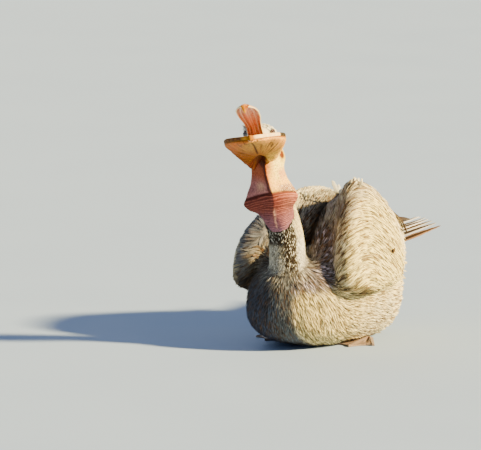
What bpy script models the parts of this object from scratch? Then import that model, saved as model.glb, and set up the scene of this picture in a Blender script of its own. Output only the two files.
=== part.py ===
"""A life-size white-type pelican, afloat on its belly with its bill raised and its lower jaw bowed wide.

Metres, +Z up. The bird's body faces -Y and its left side is +X. The origin is the centre of the flat
under its belly. Each sub-part is one closed solid; neighbours meet with a gap of GAP.
"""

import math

import bmesh
import bpy
import numpy as np
from mathutils import Euler, Matrix, Vector

GAP = 0.0004  # between neighbours

# Trunk, along Y from the breast to the tail's root.
TRUNK_SECTIONS, TRUNK_SIDES = 15, 22
# y, half width, lowest, highest: the underwater hull is rounded, and the floor cuts its belly flat.
TRUNK = [
    (-0.276, 0.010, 0.084, 0.118),
    (-0.266, 0.042, 0.056, 0.150),
    (-0.240, 0.078, 0.032, 0.178),
    (-0.190, 0.112, 0.010, 0.204),
    (-0.110, 0.133, -0.005, 0.218),
    (0.000, 0.142, -0.011, 0.226),
    (0.055, 0.139, -0.009, 0.230),
    (0.110, 0.124, -0.004, 0.230),
    (0.170, 0.096, 0.018, 0.226),
    (0.230, 0.066, 0.062, 0.216),
    (0.280, 0.042, 0.116, 0.205),
    (0.312, 0.022, 0.152, 0.196),
]
TRUNK_WIDEST = 0.42  # height of the widest line, as a share of each section
HULL_SQUARENESS = 2.5

# Neck, as a bent tube: distance up it, then centre x, y, z, half width, half depth, and the way it faces.
NECK_SECTIONS, NECK_SIDES = 17, 16
NECK = [
    (0.00, 0.000, -0.178, 0.060, 0.078, 0.062, 0),
    (0.20, 0.000, -0.196, 0.130, 0.054, 0.053, 0),
    (0.34, 0.000, -0.204, 0.180, 0.0415, 0.045, 3),
    (0.52, 0.000, -0.212, 0.245, 0.0385, 0.042, 5),
    (0.68, -0.003, -0.243, 0.310, 0.0370, 0.040, 10),
    (0.84, -0.007, -0.275, 0.375, 0.0350, 0.038, 19),
    (0.92, -0.010, -0.283, 0.412, 0.0345, 0.038, 21),
    (1.00, -0.013, -0.278, 0.446, 0.0330, 0.035, 22),
]
NECK_CUT = 0.56  # where the neck is parted in two lengths

# Head, in its own frame: the eyes' midpoint is its origin, and it looks along its -Y.
HEAD_AT = Vector((-0.0085, -0.326, 0.4845))
HEAD_YAW, HEAD_PITCH, HEAD_ROLL = 21.0, 14.0, 3.5
HEAD_SECTIONS, HEAD_SIDES = 11, 14
# y, half width, lowest, highest
HEAD = [
    (-0.046, 0.0170, -0.026, 0.004),
    (-0.034, 0.0225, -0.031, 0.010),
    (-0.016, 0.0285, -0.036, 0.017),
    (0.004, 0.0335, -0.040, 0.022),
    (0.030, 0.0365, -0.044, 0.026),
    (0.056, 0.0350, -0.045, 0.025),
    (0.078, 0.0260, -0.038, 0.018),
    (0.090, 0.0120, -0.024, 0.006),
]
EYE_RADIUS, EYE_OUT, EYE_SEGMENTS = 0.0085, 0.0272, 12

# Upper bill, in a frame at its base.
BILL_LENGTH = 0.395
BILL_BASE = Vector((0.0, -0.044, -0.012))  # in the head's frame
BILL_YAW, BILL_PITCH, BILL_ROLL = 23.8, 16.1, 3.0
BILL_SECTIONS, BILL_SIDES = 17, 12
# share of the length, half width, height over the palate's edge, depth under it, and the line's own rise
BILL = [
    (0.00, 0.0190, 0.0125, 0.0085, 0.0000),
    (0.12, 0.0165, 0.0105, 0.0065, -0.0010),
    (0.35, 0.0145, 0.0080, 0.0040, -0.0025),
    (0.52, 0.0165, 0.0065, 0.0028, -0.0025),
    (0.68, 0.0228, 0.0055, 0.0020, -0.0005),
    (0.80, 0.0245, 0.0050, 0.0018, 0.0010),
    (0.90, 0.0208, 0.0048, 0.0018, 0.0015),
    (0.97, 0.0122, 0.0045, 0.0020, 0.0010),
    (1.00, 0.0050, 0.0040, 0.0020, 0.0000),
]
NAIL_LENGTH, NAIL_DROP, NAIL_HALF_WIDTH = 0.026, 0.019, 0.0068

# Lower jaw, in a frame at its hinge: share of its reach, half width of the bow, rise of the bow.
HINGE = Vector((0.004, 0.014, -0.026))  # in the head's frame
JAW_YAW, JAW_PITCH, JAW_ROLL, JAW_REACH = 24.6, 9.3, 7.5, 0.428
JAW_BOW = [
    (0.00, 0.0310, 0.0000),
    (0.20, 0.0440, 0.0025),
    (0.40, 0.0575, 0.0050),
    (0.58, 0.0632, 0.0060),
    (0.75, 0.0560, 0.0052),
    (0.88, 0.0385, 0.0032),
    (0.96, 0.0180, 0.0012),
    (1.00, 0.0000, 0.0000),
]
JAW_STEPS, JAW_SIDES = 16, 6
RAMUS_HALF_HEIGHT, RAMUS_HALF_THICK = 0.0046, 0.0026

# Pouch, hung between the jaw's two branches: share of the reach, its depth at the middle, left and right.
POUCH_WALL = 0.0026
POUCH_STEPS, POUCH_ACROSS = 11, 14
POUCH_FROM, POUCH_TO = 0.03, 0.955
POUCH_SAG = [
    (0.00, 0.022, 0.032, 0.054),
    (0.12, 0.023, 0.032, 0.047),
    (0.30, 0.024, 0.025, 0.033),
    (0.50, 0.022, 0.015, 0.017),
    (0.72, 0.016, 0.007, 0.008),
    (0.90, 0.008, 0.004, 0.004),
    (1.00, 0.004, 0.002, 0.002),
]

# Throat, the pouch's lower part over the neck's front. z, keel's reach in front of the neck's centre,
# half width, how far forward the widest line is, and how far its corners droop.
THROAT_SECTIONS, THROAT_SIDES = 15, 16
THROAT = [
    (0.444, 0.048, 0.0325, 0.006, 0.000),
    (0.425, 0.055, 0.0345, 0.008, 0.000),
    (0.404, 0.058, 0.0355, 0.010, 0.000),
    (0.386, 0.060, 0.0405, 0.016, 0.003),
    (0.371, 0.062, 0.0520, 0.026, 0.009),
    (0.361, 0.064, 0.0605, 0.032, 0.013),
    (0.350, 0.062, 0.0540, 0.032, 0.012),
    (0.335, 0.057, 0.0430, 0.028, 0.008),
    (0.318, 0.052, 0.0350, 0.020, 0.003),
    (0.300, 0.047, 0.0290, 0.012, 0.000),
    (0.282, 0.041, 0.0230, 0.006, 0.000),
]

# Shoulder feathers that stand up each side of the back: y, centre x, centre z, half width, half height.
MANTLE_SECTIONS, MANTLE_SIDES = 12, 12
MANTLE_LEFT = [
    (-0.200, 0.055, 0.160, 0.012, 0.016),
    (-0.175, 0.058, 0.172, 0.032, 0.036),
    (-0.130, 0.054, 0.196, 0.042, 0.055),
    (-0.085, 0.049, 0.222, 0.047, 0.074),
    (-0.050, 0.046, 0.238, 0.049, 0.083),
    (0.000, 0.044, 0.246, 0.050, 0.086),
    (0.060, 0.042, 0.236, 0.048, 0.078),
    (0.106, 0.040, 0.225, 0.045, 0.067),
    (0.150, 0.037, 0.218, 0.041, 0.054),
    (0.198, 0.028, 0.214, 0.029, 0.038),
    (0.241, 0.021, 0.210, 0.021, 0.024),
    (0.275, 0.017, 0.208, 0.014, 0.014),
    (0.290, 0.015, 0.207, 0.006, 0.006),
]
MANTLE_RIGHT = [
    (-0.200, 0.055, 0.158, 0.012, 0.016),
    (-0.175, 0.058, 0.168, 0.032, 0.034),
    (-0.130, 0.054, 0.188, 0.042, 0.050),
    (-0.085, 0.049, 0.208, 0.047, 0.062),
    (-0.050, 0.046, 0.222, 0.049, 0.070),
    (0.000, 0.044, 0.236, 0.050, 0.076),
    (0.060, 0.042, 0.242, 0.048, 0.078),
    (0.106, 0.040, 0.238, 0.045, 0.076),
    (0.150, 0.037, 0.228, 0.041, 0.066),
    (0.198, 0.028, 0.216, 0.029, 0.046),
    (0.241, 0.021, 0.210, 0.021, 0.026),
    (0.275, 0.017, 0.208, 0.014, 0.014),
    (0.290, 0.015, 0.207, 0.006, 0.006),
]

# Folded wings: y, ridge x and z, lower edge x and z, half thickness. The left one is arched higher in front.
WING_SECTIONS, WING_SIDES, WING_SQUARENESS = 15, 16, 2.5
WING_LEFT = [
    (-0.190, 0.124, 0.185, 0.124, 0.145, 0.010),
    (-0.180, 0.118, 0.222, 0.128, 0.128, 0.024),
    (-0.160, 0.111, 0.264, 0.134, 0.117, 0.034),
    (-0.125, 0.099, 0.310, 0.141, 0.114, 0.040),
    (-0.085, 0.085, 0.344, 0.146, 0.115, 0.043),
    (-0.050, 0.075, 0.361, 0.147, 0.117, 0.044),
    (0.017, 0.070, 0.343, 0.140, 0.118, 0.042),
    (0.060, 0.069, 0.321, 0.128, 0.119, 0.038),
    (0.106, 0.066, 0.297, 0.112, 0.121, 0.033),
    (0.150, 0.058, 0.277, 0.090, 0.128, 0.027),
    (0.198, 0.047, 0.259, 0.066, 0.142, 0.021),
    (0.241, 0.038, 0.236, 0.048, 0.164, 0.015),
    (0.275, 0.032, 0.224, 0.036, 0.188, 0.009),
    (0.292, 0.030, 0.213, 0.031, 0.197, 0.005),
]
WING_RIGHT_RIDGE = [
    (-0.190, 0.183),
    (-0.160, 0.242),
    (-0.125, 0.273),
    (-0.085, 0.295),
    (-0.050, 0.308),
    (0.017, 0.323),
    (0.060, 0.327),
    (0.106, 0.322),
    (0.150, 0.304),
    (0.198, 0.270),
    (0.241, 0.240),
    (0.292, 0.213),
]

# Folded flight feathers that show past each wing.
PRIMARIES_ROOT, PRIMARIES_TIP = Vector((0.037, 0.232, 0.228)), Vector((0.024, 0.350, 0.232))
PRIMARIES_HALF_WIDTH, PRIMARIES_HALF_THICK = 0.017, 0.0042
PRIMARIES_SECTIONS, PRIMARIES_SIDES = 9, 10

# Tail: a narrow fan, arched so that its outer feathers lie lower than its middle ones.
TAIL_ROOT, TAIL_TIP = Vector((0, 0.255, 0.208)), Vector((0, 0.482, 0.2115))
TAIL_ROOT_HALF_WIDTH, TAIL_TIP_HALF_WIDTH = 0.033, 0.049
TAIL_ROOT_HALF_THICK, TAIL_TIP_HALF_THICK = 0.0070, 0.0022
TAIL_ROOT_ARCH, TAIL_TIP_ARCH = 0.036, 0.020
TAIL_SECTIONS, TAIL_SIDES = 8, 12

# Legs folded forward under the flanks, and webbed feet flat on the floor.
HOCK, ANKLE = Vector((0.080, 0.070, 0.040)), Vector((0.092, 0.010, 0.0125))
SHANK_RADIUS = 0.0085
TOE_LENGTHS = (0.070, 0.118, 0.124, 0.098)  # from the hind toe, which points inward, to the outer one
TOE_TURNS = (-62, -21, 5, 30)  # degrees outward of straight ahead
TOE_HEIGHT, TOE_HALF_WIDTH, WEB_THICK, WEB_DIP = 0.0085, 0.0052, 0.0028, 0.14
FOOT_HEEL, FOOT_MARGIN = 0.007, 0.002
FOOT_RINGS, FOOT_RAYS = 3, 18

COLOURS = {
    "plumage": ((0.62, 0.55, 0.45), 0.8),
    "wing_plumage": ((0.66, 0.58, 0.44), 0.75),
    "flight_feather": ((0.22, 0.20, 0.19), 0.6),
    "pouch_skin": ((0.76, 0.38, 0.18), 0.4),
    "throat_skin": ((0.66, 0.30, 0.22), 0.4),
    "bill_horn": ((0.80, 0.50, 0.34), 0.4),
    "nail_horn": ((0.90, 0.50, 0.08), 0.3),
    "eye": ((0.05, 0.02, 0.015), 0.05),
    "leg_skin": ((0.42, 0.36, 0.32), 0.55),
}


def clear_scene():
    for item in list(bpy.data.objects):
        bpy.data.objects.remove(item)


def collection(name):
    made = bpy.data.collections.new(name)
    bpy.context.scene.collection.children.link(made)
    return made


def material(name):
    """The Principled material of this name, made on first use."""
    if name not in bpy.data.materials:
        colour, roughness = COLOURS[name]
        made = bpy.data.materials.new(name)
        made.use_nodes = True
        shader = made.node_tree.nodes["Principled BSDF"]
        shader.inputs["Base Color"].default_value = (*colour, 1)
        shader.inputs["Roughness"].default_value = roughness
        shader.inputs["Metallic"].default_value = 0.0
    return bpy.data.materials[name]


def track(rows):
    """A smooth function of position through rows of (position, value, value, ...), with no overshoot."""
    table = np.array(rows, float)
    at, values = table[:, 0], table[:, 1:]
    steps = np.diff(at)[:, None]
    rises = np.diff(values, axis=0) / steps
    slopes = np.zeros_like(values)
    slopes[0], slopes[-1] = rises[0], rises[-1]
    total = rises[:-1] + rises[1:]
    turning = rises[:-1] * rises[1:] <= 0
    slopes[1:-1] = np.where(turning, 0, 2 * rises[:-1] * rises[1:] / np.where(turning, 1, total))

    def value(position):
        i = int(np.clip(np.searchsorted(at, position) - 1, 0, len(steps) - 1))
        h = steps[i, 0]
        t = min(max((position - at[i]) / h, 0.0), 1.0)
        start, end = (2 * t**3 - 3 * t**2 + 1) * values[i], (3 * t**2 - 2 * t**3) * values[i + 1]
        return start + end + h * ((t**3 - 2 * t**2 + t) * slopes[i] + (t**3 - t**2) * slopes[i + 1])

    return value


def rounded_steps(count, start, end):
    """Positions from start to end, closer together towards both ends, where a form rounds off."""
    return [start + (end - start) * (0.5 - 0.5 * math.cos(math.pi * i / (count - 1))) for i in range(count)]


def superellipse(turn, power):
    """A point of the unit superellipse at this turn, in radians."""
    c, s = math.cos(turn), math.sin(turn)
    return (
        math.copysign(abs(c) ** (2 / power), c),
        math.copysign(abs(s) ** (2 / power), s),
    )


def turns(count):
    return [2 * math.pi * i / count for i in range(count)]


def loft(rings):
    """A closed bmesh through rings of points, with a point at the middle of each end."""
    made = bmesh.new()
    loops = [[made.verts.new(point) for point in ring] for ring in rings]
    count = len(loops[0])
    for first, second in zip(loops, loops[1:]):
        for i in range(count):
            j = (i + 1) % count
            made.faces.new((first[i], first[j], second[j], second[i]))
    ends = [made.faces.new(loops[0][::-1]), made.faces.new(loops[-1])]
    bmesh.ops.poke(made, faces=ends)
    bmesh.ops.recalc_face_normals(made, faces=made.faces)
    return made


def solid(name, mesh_data, finish, home, location=(0, 0, 0), rotation=(0, 0, 0)):
    """A named object from a bmesh, with its material, place and turn."""
    bmesh.ops.triangulate(mesh_data, faces=mesh_data.faces)  # so that a neighbour's cutter has the same facets
    mesh = bpy.data.meshes.new(name)
    mesh_data.to_mesh(mesh)
    mesh_data.free()
    made = bpy.data.objects.new(name, mesh)
    mesh.materials.append(material(finish))
    mesh.shade_smooth()
    made.location = location
    made.rotation_euler = rotation
    home.objects.link(made)
    return made


def as_shown(item):
    """A plain mesh of an object with its modifiers applied, in world space."""
    bpy.context.view_layer.update()
    graph = bpy.context.evaluated_depsgraph_get()
    mesh = bpy.data.meshes.new_from_object(item.evaluated_get(graph), depsgraph=graph)
    mesh.transform(item.matrix_world)
    return mesh


def swollen(item, home):
    """A cutter: a copy of an object that is GAP bigger all round."""
    mesh = as_shown(item)
    shape = bmesh.new()
    shape.from_mesh(mesh)
    bmesh.ops.triangulate(shape, faces=shape.faces)
    bmesh.ops.remove_doubles(shape, verts=shape.verts, dist=1e-5)
    shape.normal_update()
    moves = [vertex.normal * GAP for vertex in shape.verts]
    for vertex, move in zip(shape.verts, moves):
        vertex.co += move
    shape.to_mesh(mesh)
    shape.free()
    made = bpy.data.objects.new(item.name + "_cutter", mesh)
    made.hide_render = True
    made.display_type = "WIRE"
    home.objects.link(made)
    return made


def make_room(item, cutters):
    """Cuts these swollen neighbours out of an object."""
    for cutter in cutters:
        cut = item.modifiers.new("room_for_" + cutter.name, "BOOLEAN")
        cut.operation = "DIFFERENCE"
        cut.solver = "EXACT"
        cut.object = cutter


def turned(yaw, pitch, roll=0):
    """The rotation of something that looks along -Y: yaw to the bird's left, pitch up, roll to its right."""
    return Euler((math.radians(-pitch), math.radians(-roll), math.radians(yaw)), "XYZ")


def trunk_shape():
    at = track(TRUNK)
    rings = []
    for y in rounded_steps(TRUNK_SECTIONS, TRUNK[0][0], TRUNK[-1][0]):
        half_width, low, high = at(y)
        widest = low + TRUNK_WIDEST * (high - low)
        ring = []
        for turn in turns(TRUNK_SIDES):
            c, s = superellipse(turn, 2 if math.sin(turn) > 0 else HULL_SQUARENESS)
            reach = high - widest if s > 0 else widest - low
            ring.append((half_width * c, y, widest + reach * s))
        rings.append(ring)
    shape = loft(rings)
    parts = [*shape.verts, *shape.edges, *shape.faces]
    cut = bmesh.ops.bisect_plane(shape, geom=parts, plane_co=(0, 0, 0), plane_no=(0, 0, -1), clear_outer=True)
    edges = [part for part in cut["geom_cut"] if isinstance(part, bmesh.types.BMEdge)]
    bmesh.ops.contextual_create(shape, geom=edges)
    bmesh.ops.recalc_face_normals(shape, faces=shape.faces)
    return shape


def neck_frame(share):
    """Centre, facing direction, sideways direction, half width and half depth of the neck at this share of it."""
    at = track(NECK)
    x, y, z, half_width, half_depth, facing = at(share)
    step = 0.01
    along = Vector(at(min(share + step, 1))[:3]) - Vector(at(max(share - step, 0))[:3])
    along.normalize()
    facing = math.radians(facing)
    front = Vector((math.sin(facing), -math.cos(facing), 0))
    front = (front - along * front.dot(along)).normalized()
    side = front.cross(along)
    return Vector((x, y, z)), front, side, half_width, half_depth


def neck_shape(start, end):
    sections = max(2, round(NECK_SECTIONS * (end - start)))
    rings = []
    for i in range(sections):
        centre, front, side, half_width, half_depth = neck_frame(start + (end - start) * i / (sections - 1))
        rings.append(
            [
                centre + side * half_width * math.cos(turn) + front * half_depth * math.sin(turn)
                for turn in turns(NECK_SIDES)
            ]
        )
    return loft(rings)


def head_shape():
    at = track(HEAD)
    rings = []
    for y in rounded_steps(HEAD_SECTIONS, HEAD[0][0], HEAD[-1][0]):
        half_width, low, high = at(y)
        middle = 0.4 * low + 0.6 * high
        ring = []
        for turn in turns(HEAD_SIDES):
            c, s = superellipse(turn, 2.2)
            ring.append((half_width * c, y, middle + (high - middle if s > 0 else middle - low) * s))
        rings.append(ring)
    return loft(rings)


def eye_shape(side):
    shape = bmesh.new()
    place = Matrix.Translation((side * EYE_OUT, 0, 0))
    bmesh.ops.create_uvsphere(
        shape, u_segments=EYE_SEGMENTS, v_segments=EYE_SEGMENTS // 2, radius=EYE_RADIUS, matrix=place
    )
    return shape


def bill_shape():
    at = track(BILL)
    rings = []
    for i in range(BILL_SECTIONS):
        share = i / (BILL_SECTIONS - 1)
        share = 1 - (1 - share) ** 1.5
        half_width, up, down, rise = at(share)
        ring = []
        for turn in turns(BILL_SIDES):
            c, s = superellipse(turn, 2.0)
            ring.append((half_width * c, -share * BILL_LENGTH, rise + (up if s > 0 else down) * s))
        rings.append(ring)
    return loft(rings)


def nail_shape():
    """The hook on the bill's tip: a bent, tapering tongue that starts on the bill and turns down."""
    rings = []
    count = 9
    for i in range(count):
        share = i / (count - 1)
        bend = share * math.radians(112)
        thin = math.sqrt(max(1 - share**2.2, 0.03))
        along = -BILL_LENGTH + NAIL_LENGTH * 0.62 - NAIL_LENGTH * 0.78 * math.sin(bend)
        height = 0.0035 - NAIL_DROP * 0.72 * (1 - math.cos(bend))
        centre = Vector((0, along, height))
        out = Vector((0, -math.sin(bend), math.cos(bend)))
        rings.append(
            [
                centre
                + Vector((1, 0, 0)) * NAIL_HALF_WIDTH * thin * math.cos(turn)
                + out * 0.0034 * thin * math.sin(turn)
                for turn in turns(10)
            ]
        )
    return loft(rings)


def jaw_line():
    """Points of the jaw's left branch, from the hinge to the tip, in the jaw's frame."""
    at = track(JAW_BOW)
    points = []
    for i in range(JAW_STEPS + 1):
        share = math.sin(0.5 * math.pi * i / JAW_STEPS) ** 1.15
        half_width, rise = at(share)
        points.append(Vector((half_width, -share * JAW_REACH, rise)))
    return points


def jaw_shape():
    left = jaw_line()
    path = left + [Vector((-point.x, point.y, point.z)) for point in reversed(left[:-1])]
    up = Vector((0, 0, 1))
    rings = []
    for i, point in enumerate(path):
        along = path[min(i + 1, len(path) - 1)] - path[max(i - 1, 0)]
        across = along.cross(up).normalized()
        rings.append(
            [
                point + across * RAMUS_HALF_THICK * math.cos(turn) + up * RAMUS_HALF_HEIGHT * math.sin(turn)
                for turn in turns(JAW_SIDES)
            ]
        )
    return loft(rings)


def pouch_point(share, across, bow, sag):
    """A point of the pouch's skin: across runs from 1 at the left branch through 0 to -1 at the right one."""
    half_width, rise = bow(share)
    middle, left, right = sag(share)
    sides = left if across > 0 else right
    t = 1 - abs(across)
    x = half_width * ((1 - t) ** 3 + 3 * (1 - t) ** 2 * t * 0.99 + 3 * (1 - t) * t**2 * 0.56)
    depth = 3 * (1 - t) ** 2 * t * sides * 0.95 + 3 * (1 - t) * t**2 * max(sides * 1.15, middle) + t**3 * middle
    return Vector((math.copysign(x, across), -share * JAW_REACH, rise - 0.8 * RAMUS_HALF_HEIGHT - depth))


def pouch_shape():
    """The open skin between the branches. Solidify gives it its wall."""
    bow, sag = track(JAW_BOW), track(POUCH_SAG)
    shape = bmesh.new()
    rows = []
    for i in range(POUCH_STEPS + 1):
        share = POUCH_FROM + (POUCH_TO - POUCH_FROM) * i / POUCH_STEPS
        row = [pouch_point(share, 1 - 2 * j / POUCH_ACROSS, bow, sag) for j in range(POUCH_ACROSS + 1)]
        rows.append([shape.verts.new(point) for point in row])
    for first, second in zip(rows, rows[1:]):
        for j in range(POUCH_ACROSS):
            shape.faces.new((first[j], first[j + 1], second[j + 1], second[j]))
    return shape


def neck_at_height(height):
    """The neck's centre, front and side where it passes this height."""
    low, high = 0.0, 1.0
    for _ in range(30):
        middle = (low + high) / 2
        low, high = (middle, high) if neck_frame(middle)[0].z < height else (low, middle)
    return neck_frame(low)


def throat_shape():
    at = track(list(reversed(THROAT)))
    rings = []
    for i in range(THROAT_SECTIONS):
        z = THROAT[0][0] + (THROAT[-1][0] - THROAT[0][0]) * i / (THROAT_SECTIONS - 1)
        keel, half_width, forward, droop = at(z)
        centre, front, side, _, _ = neck_at_height(z)
        ring = []
        for turn in turns(THROAT_SIDES):
            c, s = math.cos(turn), math.sin(turn)
            if s > 0:  # the front: two flanks that meet in a keel
                reach = forward + (keel - forward) * (1 - abs(c) ** 1.25)
            else:
                reach = forward + (forward + 0.012) * s
            point = centre + side * half_width * c + front * reach
            point.z -= droop * abs(c) ** 1.6
            ring.append(point)
        rings.append(ring)
    return loft(rings)


def mantle_shape(rows, side):
    at = track(rows)
    rings = []
    for y in rounded_steps(MANTLE_SECTIONS, rows[0][0], rows[-1][0]):
        x, z, half_width, half_height = at(y)
        rings.append(
            [
                (side * (x + half_width * math.cos(turn)), y, z + half_height * math.sin(turn))
                for turn in turns(MANTLE_SIDES)
            ]
        )
    return loft(rings)


def wing_shape(side):
    """Tall thin ellipses, each from the wing's ridge down and outward to its lower edge."""
    at, right_ridge = track(WING_LEFT), track(WING_RIGHT_RIDGE)
    rings = []
    for y in rounded_steps(WING_SECTIONS, WING_LEFT[0][0], WING_LEFT[-1][0]):
        ridge_x, ridge_z, edge_x, edge_z, half_thick = at(y)
        if side < 0:
            ridge_z = right_ridge(y)[0]
        ridge, edge = Vector((side * ridge_x, y, ridge_z)), Vector((side * edge_x, y, edge_z))
        middle, half = (ridge + edge) / 2, (ridge - edge) / 2
        across = Vector((half.z, 0, -half.x)).normalized() * half_thick
        ring = []
        for turn in turns(WING_SIDES):
            c, s = superellipse(turn, WING_SQUARENESS)
            ring.append(middle + across * c + half * s)
        rings.append(ring)
    return loft(rings)


def primaries_shape(side):
    """A long flat tongue, widest a third of the way along and pointed at its tip."""
    rings = []
    for i in range(PRIMARIES_SECTIONS):
        share = i / (PRIMARIES_SECTIONS - 1)
        centre = PRIMARIES_ROOT.lerp(PRIMARIES_TIP, share)
        width = PRIMARIES_HALF_WIDTH * max(math.sin(math.pi * (0.2 + 0.8 * share)) ** 0.7, 0.12)
        thick = PRIMARIES_HALF_THICK * (1 - 0.6 * share)
        rings.append(
            [
                (side * (centre.x + width * math.cos(turn)), centre.y, centre.z + thick * math.sin(turn))
                for turn in turns(PRIMARIES_SIDES)
            ]
        )
    return loft(rings)


def tail_shape():
    """An arched fan whose end is rounded."""
    rings = []
    for i in range(TAIL_SECTIONS):
        share = math.sin(0.5 * math.pi * i / (TAIL_SECTIONS - 1))
        spread = TAIL_ROOT_HALF_WIDTH + (TAIL_TIP_HALF_WIDTH - TAIL_ROOT_HALF_WIDTH) * share
        width = spread * math.sqrt(max(1 - (max(share - 0.8, 0) / 0.2) ** 2, 0.05))
        thick = TAIL_ROOT_HALF_THICK + (TAIL_TIP_HALF_THICK - TAIL_ROOT_HALF_THICK) * share
        arch = TAIL_ROOT_ARCH + (TAIL_TIP_ARCH - TAIL_ROOT_ARCH) * share
        centre = TAIL_ROOT.lerp(TAIL_TIP, share)
        ring = []
        for turn in turns(TAIL_SIDES):
            x = width * math.cos(turn)
            ring.append((x, centre.y, centre.z + thick * math.sin(turn) - arch * (x / spread) ** 2))
        rings.append(ring)
    return loft(rings)


def tapered_rod(start, end, radius_start, radius_end, sides):
    """A round rod with domed ends."""
    along = (end - start).normalized()
    across = along.cross(Vector((0, 0, 1))).normalized()
    up = across.cross(along)
    rings = []
    for share, dome in ((0.0, 0.6), (0.04, 1), (0.5, 1), (0.94, 1), (1.0, 0.5)):
        radius = (radius_start + (radius_end - radius_start) * share) * dome
        centre = start.lerp(end, share)
        rings.append([centre + (across * math.cos(turn) + up * math.sin(turn)) * radius for turn in turns(sides)])
    return loft(rings)


def web_reach(turn):
    """How far the web's edge is from the ankle at this turn, in degrees: it dips in between the toes."""
    for (first, start), (second, end) in zip(
        zip(TOE_TURNS, TOE_LENGTHS), zip(TOE_TURNS[1:], TOE_LENGTHS[1:])
    ):
        if first <= turn <= second:
            share = (turn - first) / (second - first)
            return (start + (end - start) * share) * (1 - WEB_DIP * 4 * share * (1 - share))
    return TOE_LENGTHS[0] if turn < TOE_TURNS[0] else TOE_LENGTHS[-1]


def foot_height(point, share):
    """The foot's thickness at a point seen from above: the web, and a ridge over each toe."""
    height = WEB_THICK
    for turn in TOE_TURNS:
        along = Vector((math.sin(math.radians(turn)), -math.cos(math.radians(turn))))
        off = abs(point.x * along.y - point.y * along.x) / TOE_HALF_WIDTH
        if off < 1 and point.dot(along) > 0:
            height = max(height, TOE_HEIGHT * (1 - 0.4 * share) * math.sqrt(1 - off**2))
    return height


def foot_outline(rays):
    """Points round the web seen from above, each with its share of the way out from the heel."""
    first, last = TOE_TURNS[0] - 3, TOE_TURNS[-1] + 3
    bends = sorted({*TOE_TURNS, *(first + (last - first) * i / (rays - 1) for i in range(rays))})
    return [(Vector((math.sin(math.radians(bend)), -math.cos(math.radians(bend)))), bend) for bend in bends]


def foot_shape(side):
    """A flat web with toes on it, in rings round the ankle."""
    made = bmesh.new()
    rings = []
    for ring in range(FOOT_RINGS + 1):
        share = ring / FOOT_RINGS
        loop = [way * (FOOT_HEEL + (web_reach(bend) - FOOT_HEEL) * share) for way, bend in foot_outline(FOOT_RAYS)]
        loop += [Vector((0.004, 0.010 + 0.002 * share)), Vector((-0.004, 0.010))]
        rings.append([made.verts.new((side * p.x, p.y, foot_height(p, share))) for p in loop])
    rings.append([made.verts.new((vertex.co.x, vertex.co.y, 0)) for vertex in rings[-1]])
    for inner, outer in zip(rings, rings[1:]):
        for i in range(len(inner)):
            j = (i + 1) % len(inner)
            made.faces.new((inner[i], inner[j], outer[j], outer[i]))
    made.faces.new(rings[0])
    made.faces.new(rings[-1])
    bmesh.ops.recalc_face_normals(made, faces=made.faces)
    return made


def foot_room_shape(side):
    """The slab that the belly leaves free for a foot."""
    made = bmesh.new()
    loop = [way * (web_reach(bend) + FOOT_MARGIN) for way, bend in foot_outline(FOOT_RAYS // 2)]
    loop += [Vector((0.010, 0.014)), Vector((-0.010, 0.014))]
    floor = made.faces.new([made.verts.new((side * p.x, p.y, -FOOT_MARGIN)) for p in loop])
    raised = bmesh.ops.extrude_face_region(made, geom=[floor])["geom"]
    for vertex in (part for part in raised if isinstance(part, bmesh.types.BMVert)):
        vertex.co.z = TOE_HEIGHT + GAP
    bmesh.ops.recalc_face_normals(made, faces=made.faces)
    return made


def leg_shape(side):
    hock, ankle = (Vector((side * p.x, p.y, p.z)) for p in (HOCK, ANKLE))
    return tapered_rod(hock, ankle, SHANK_RADIUS * 1.25, SHANK_RADIUS, 10)


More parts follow.
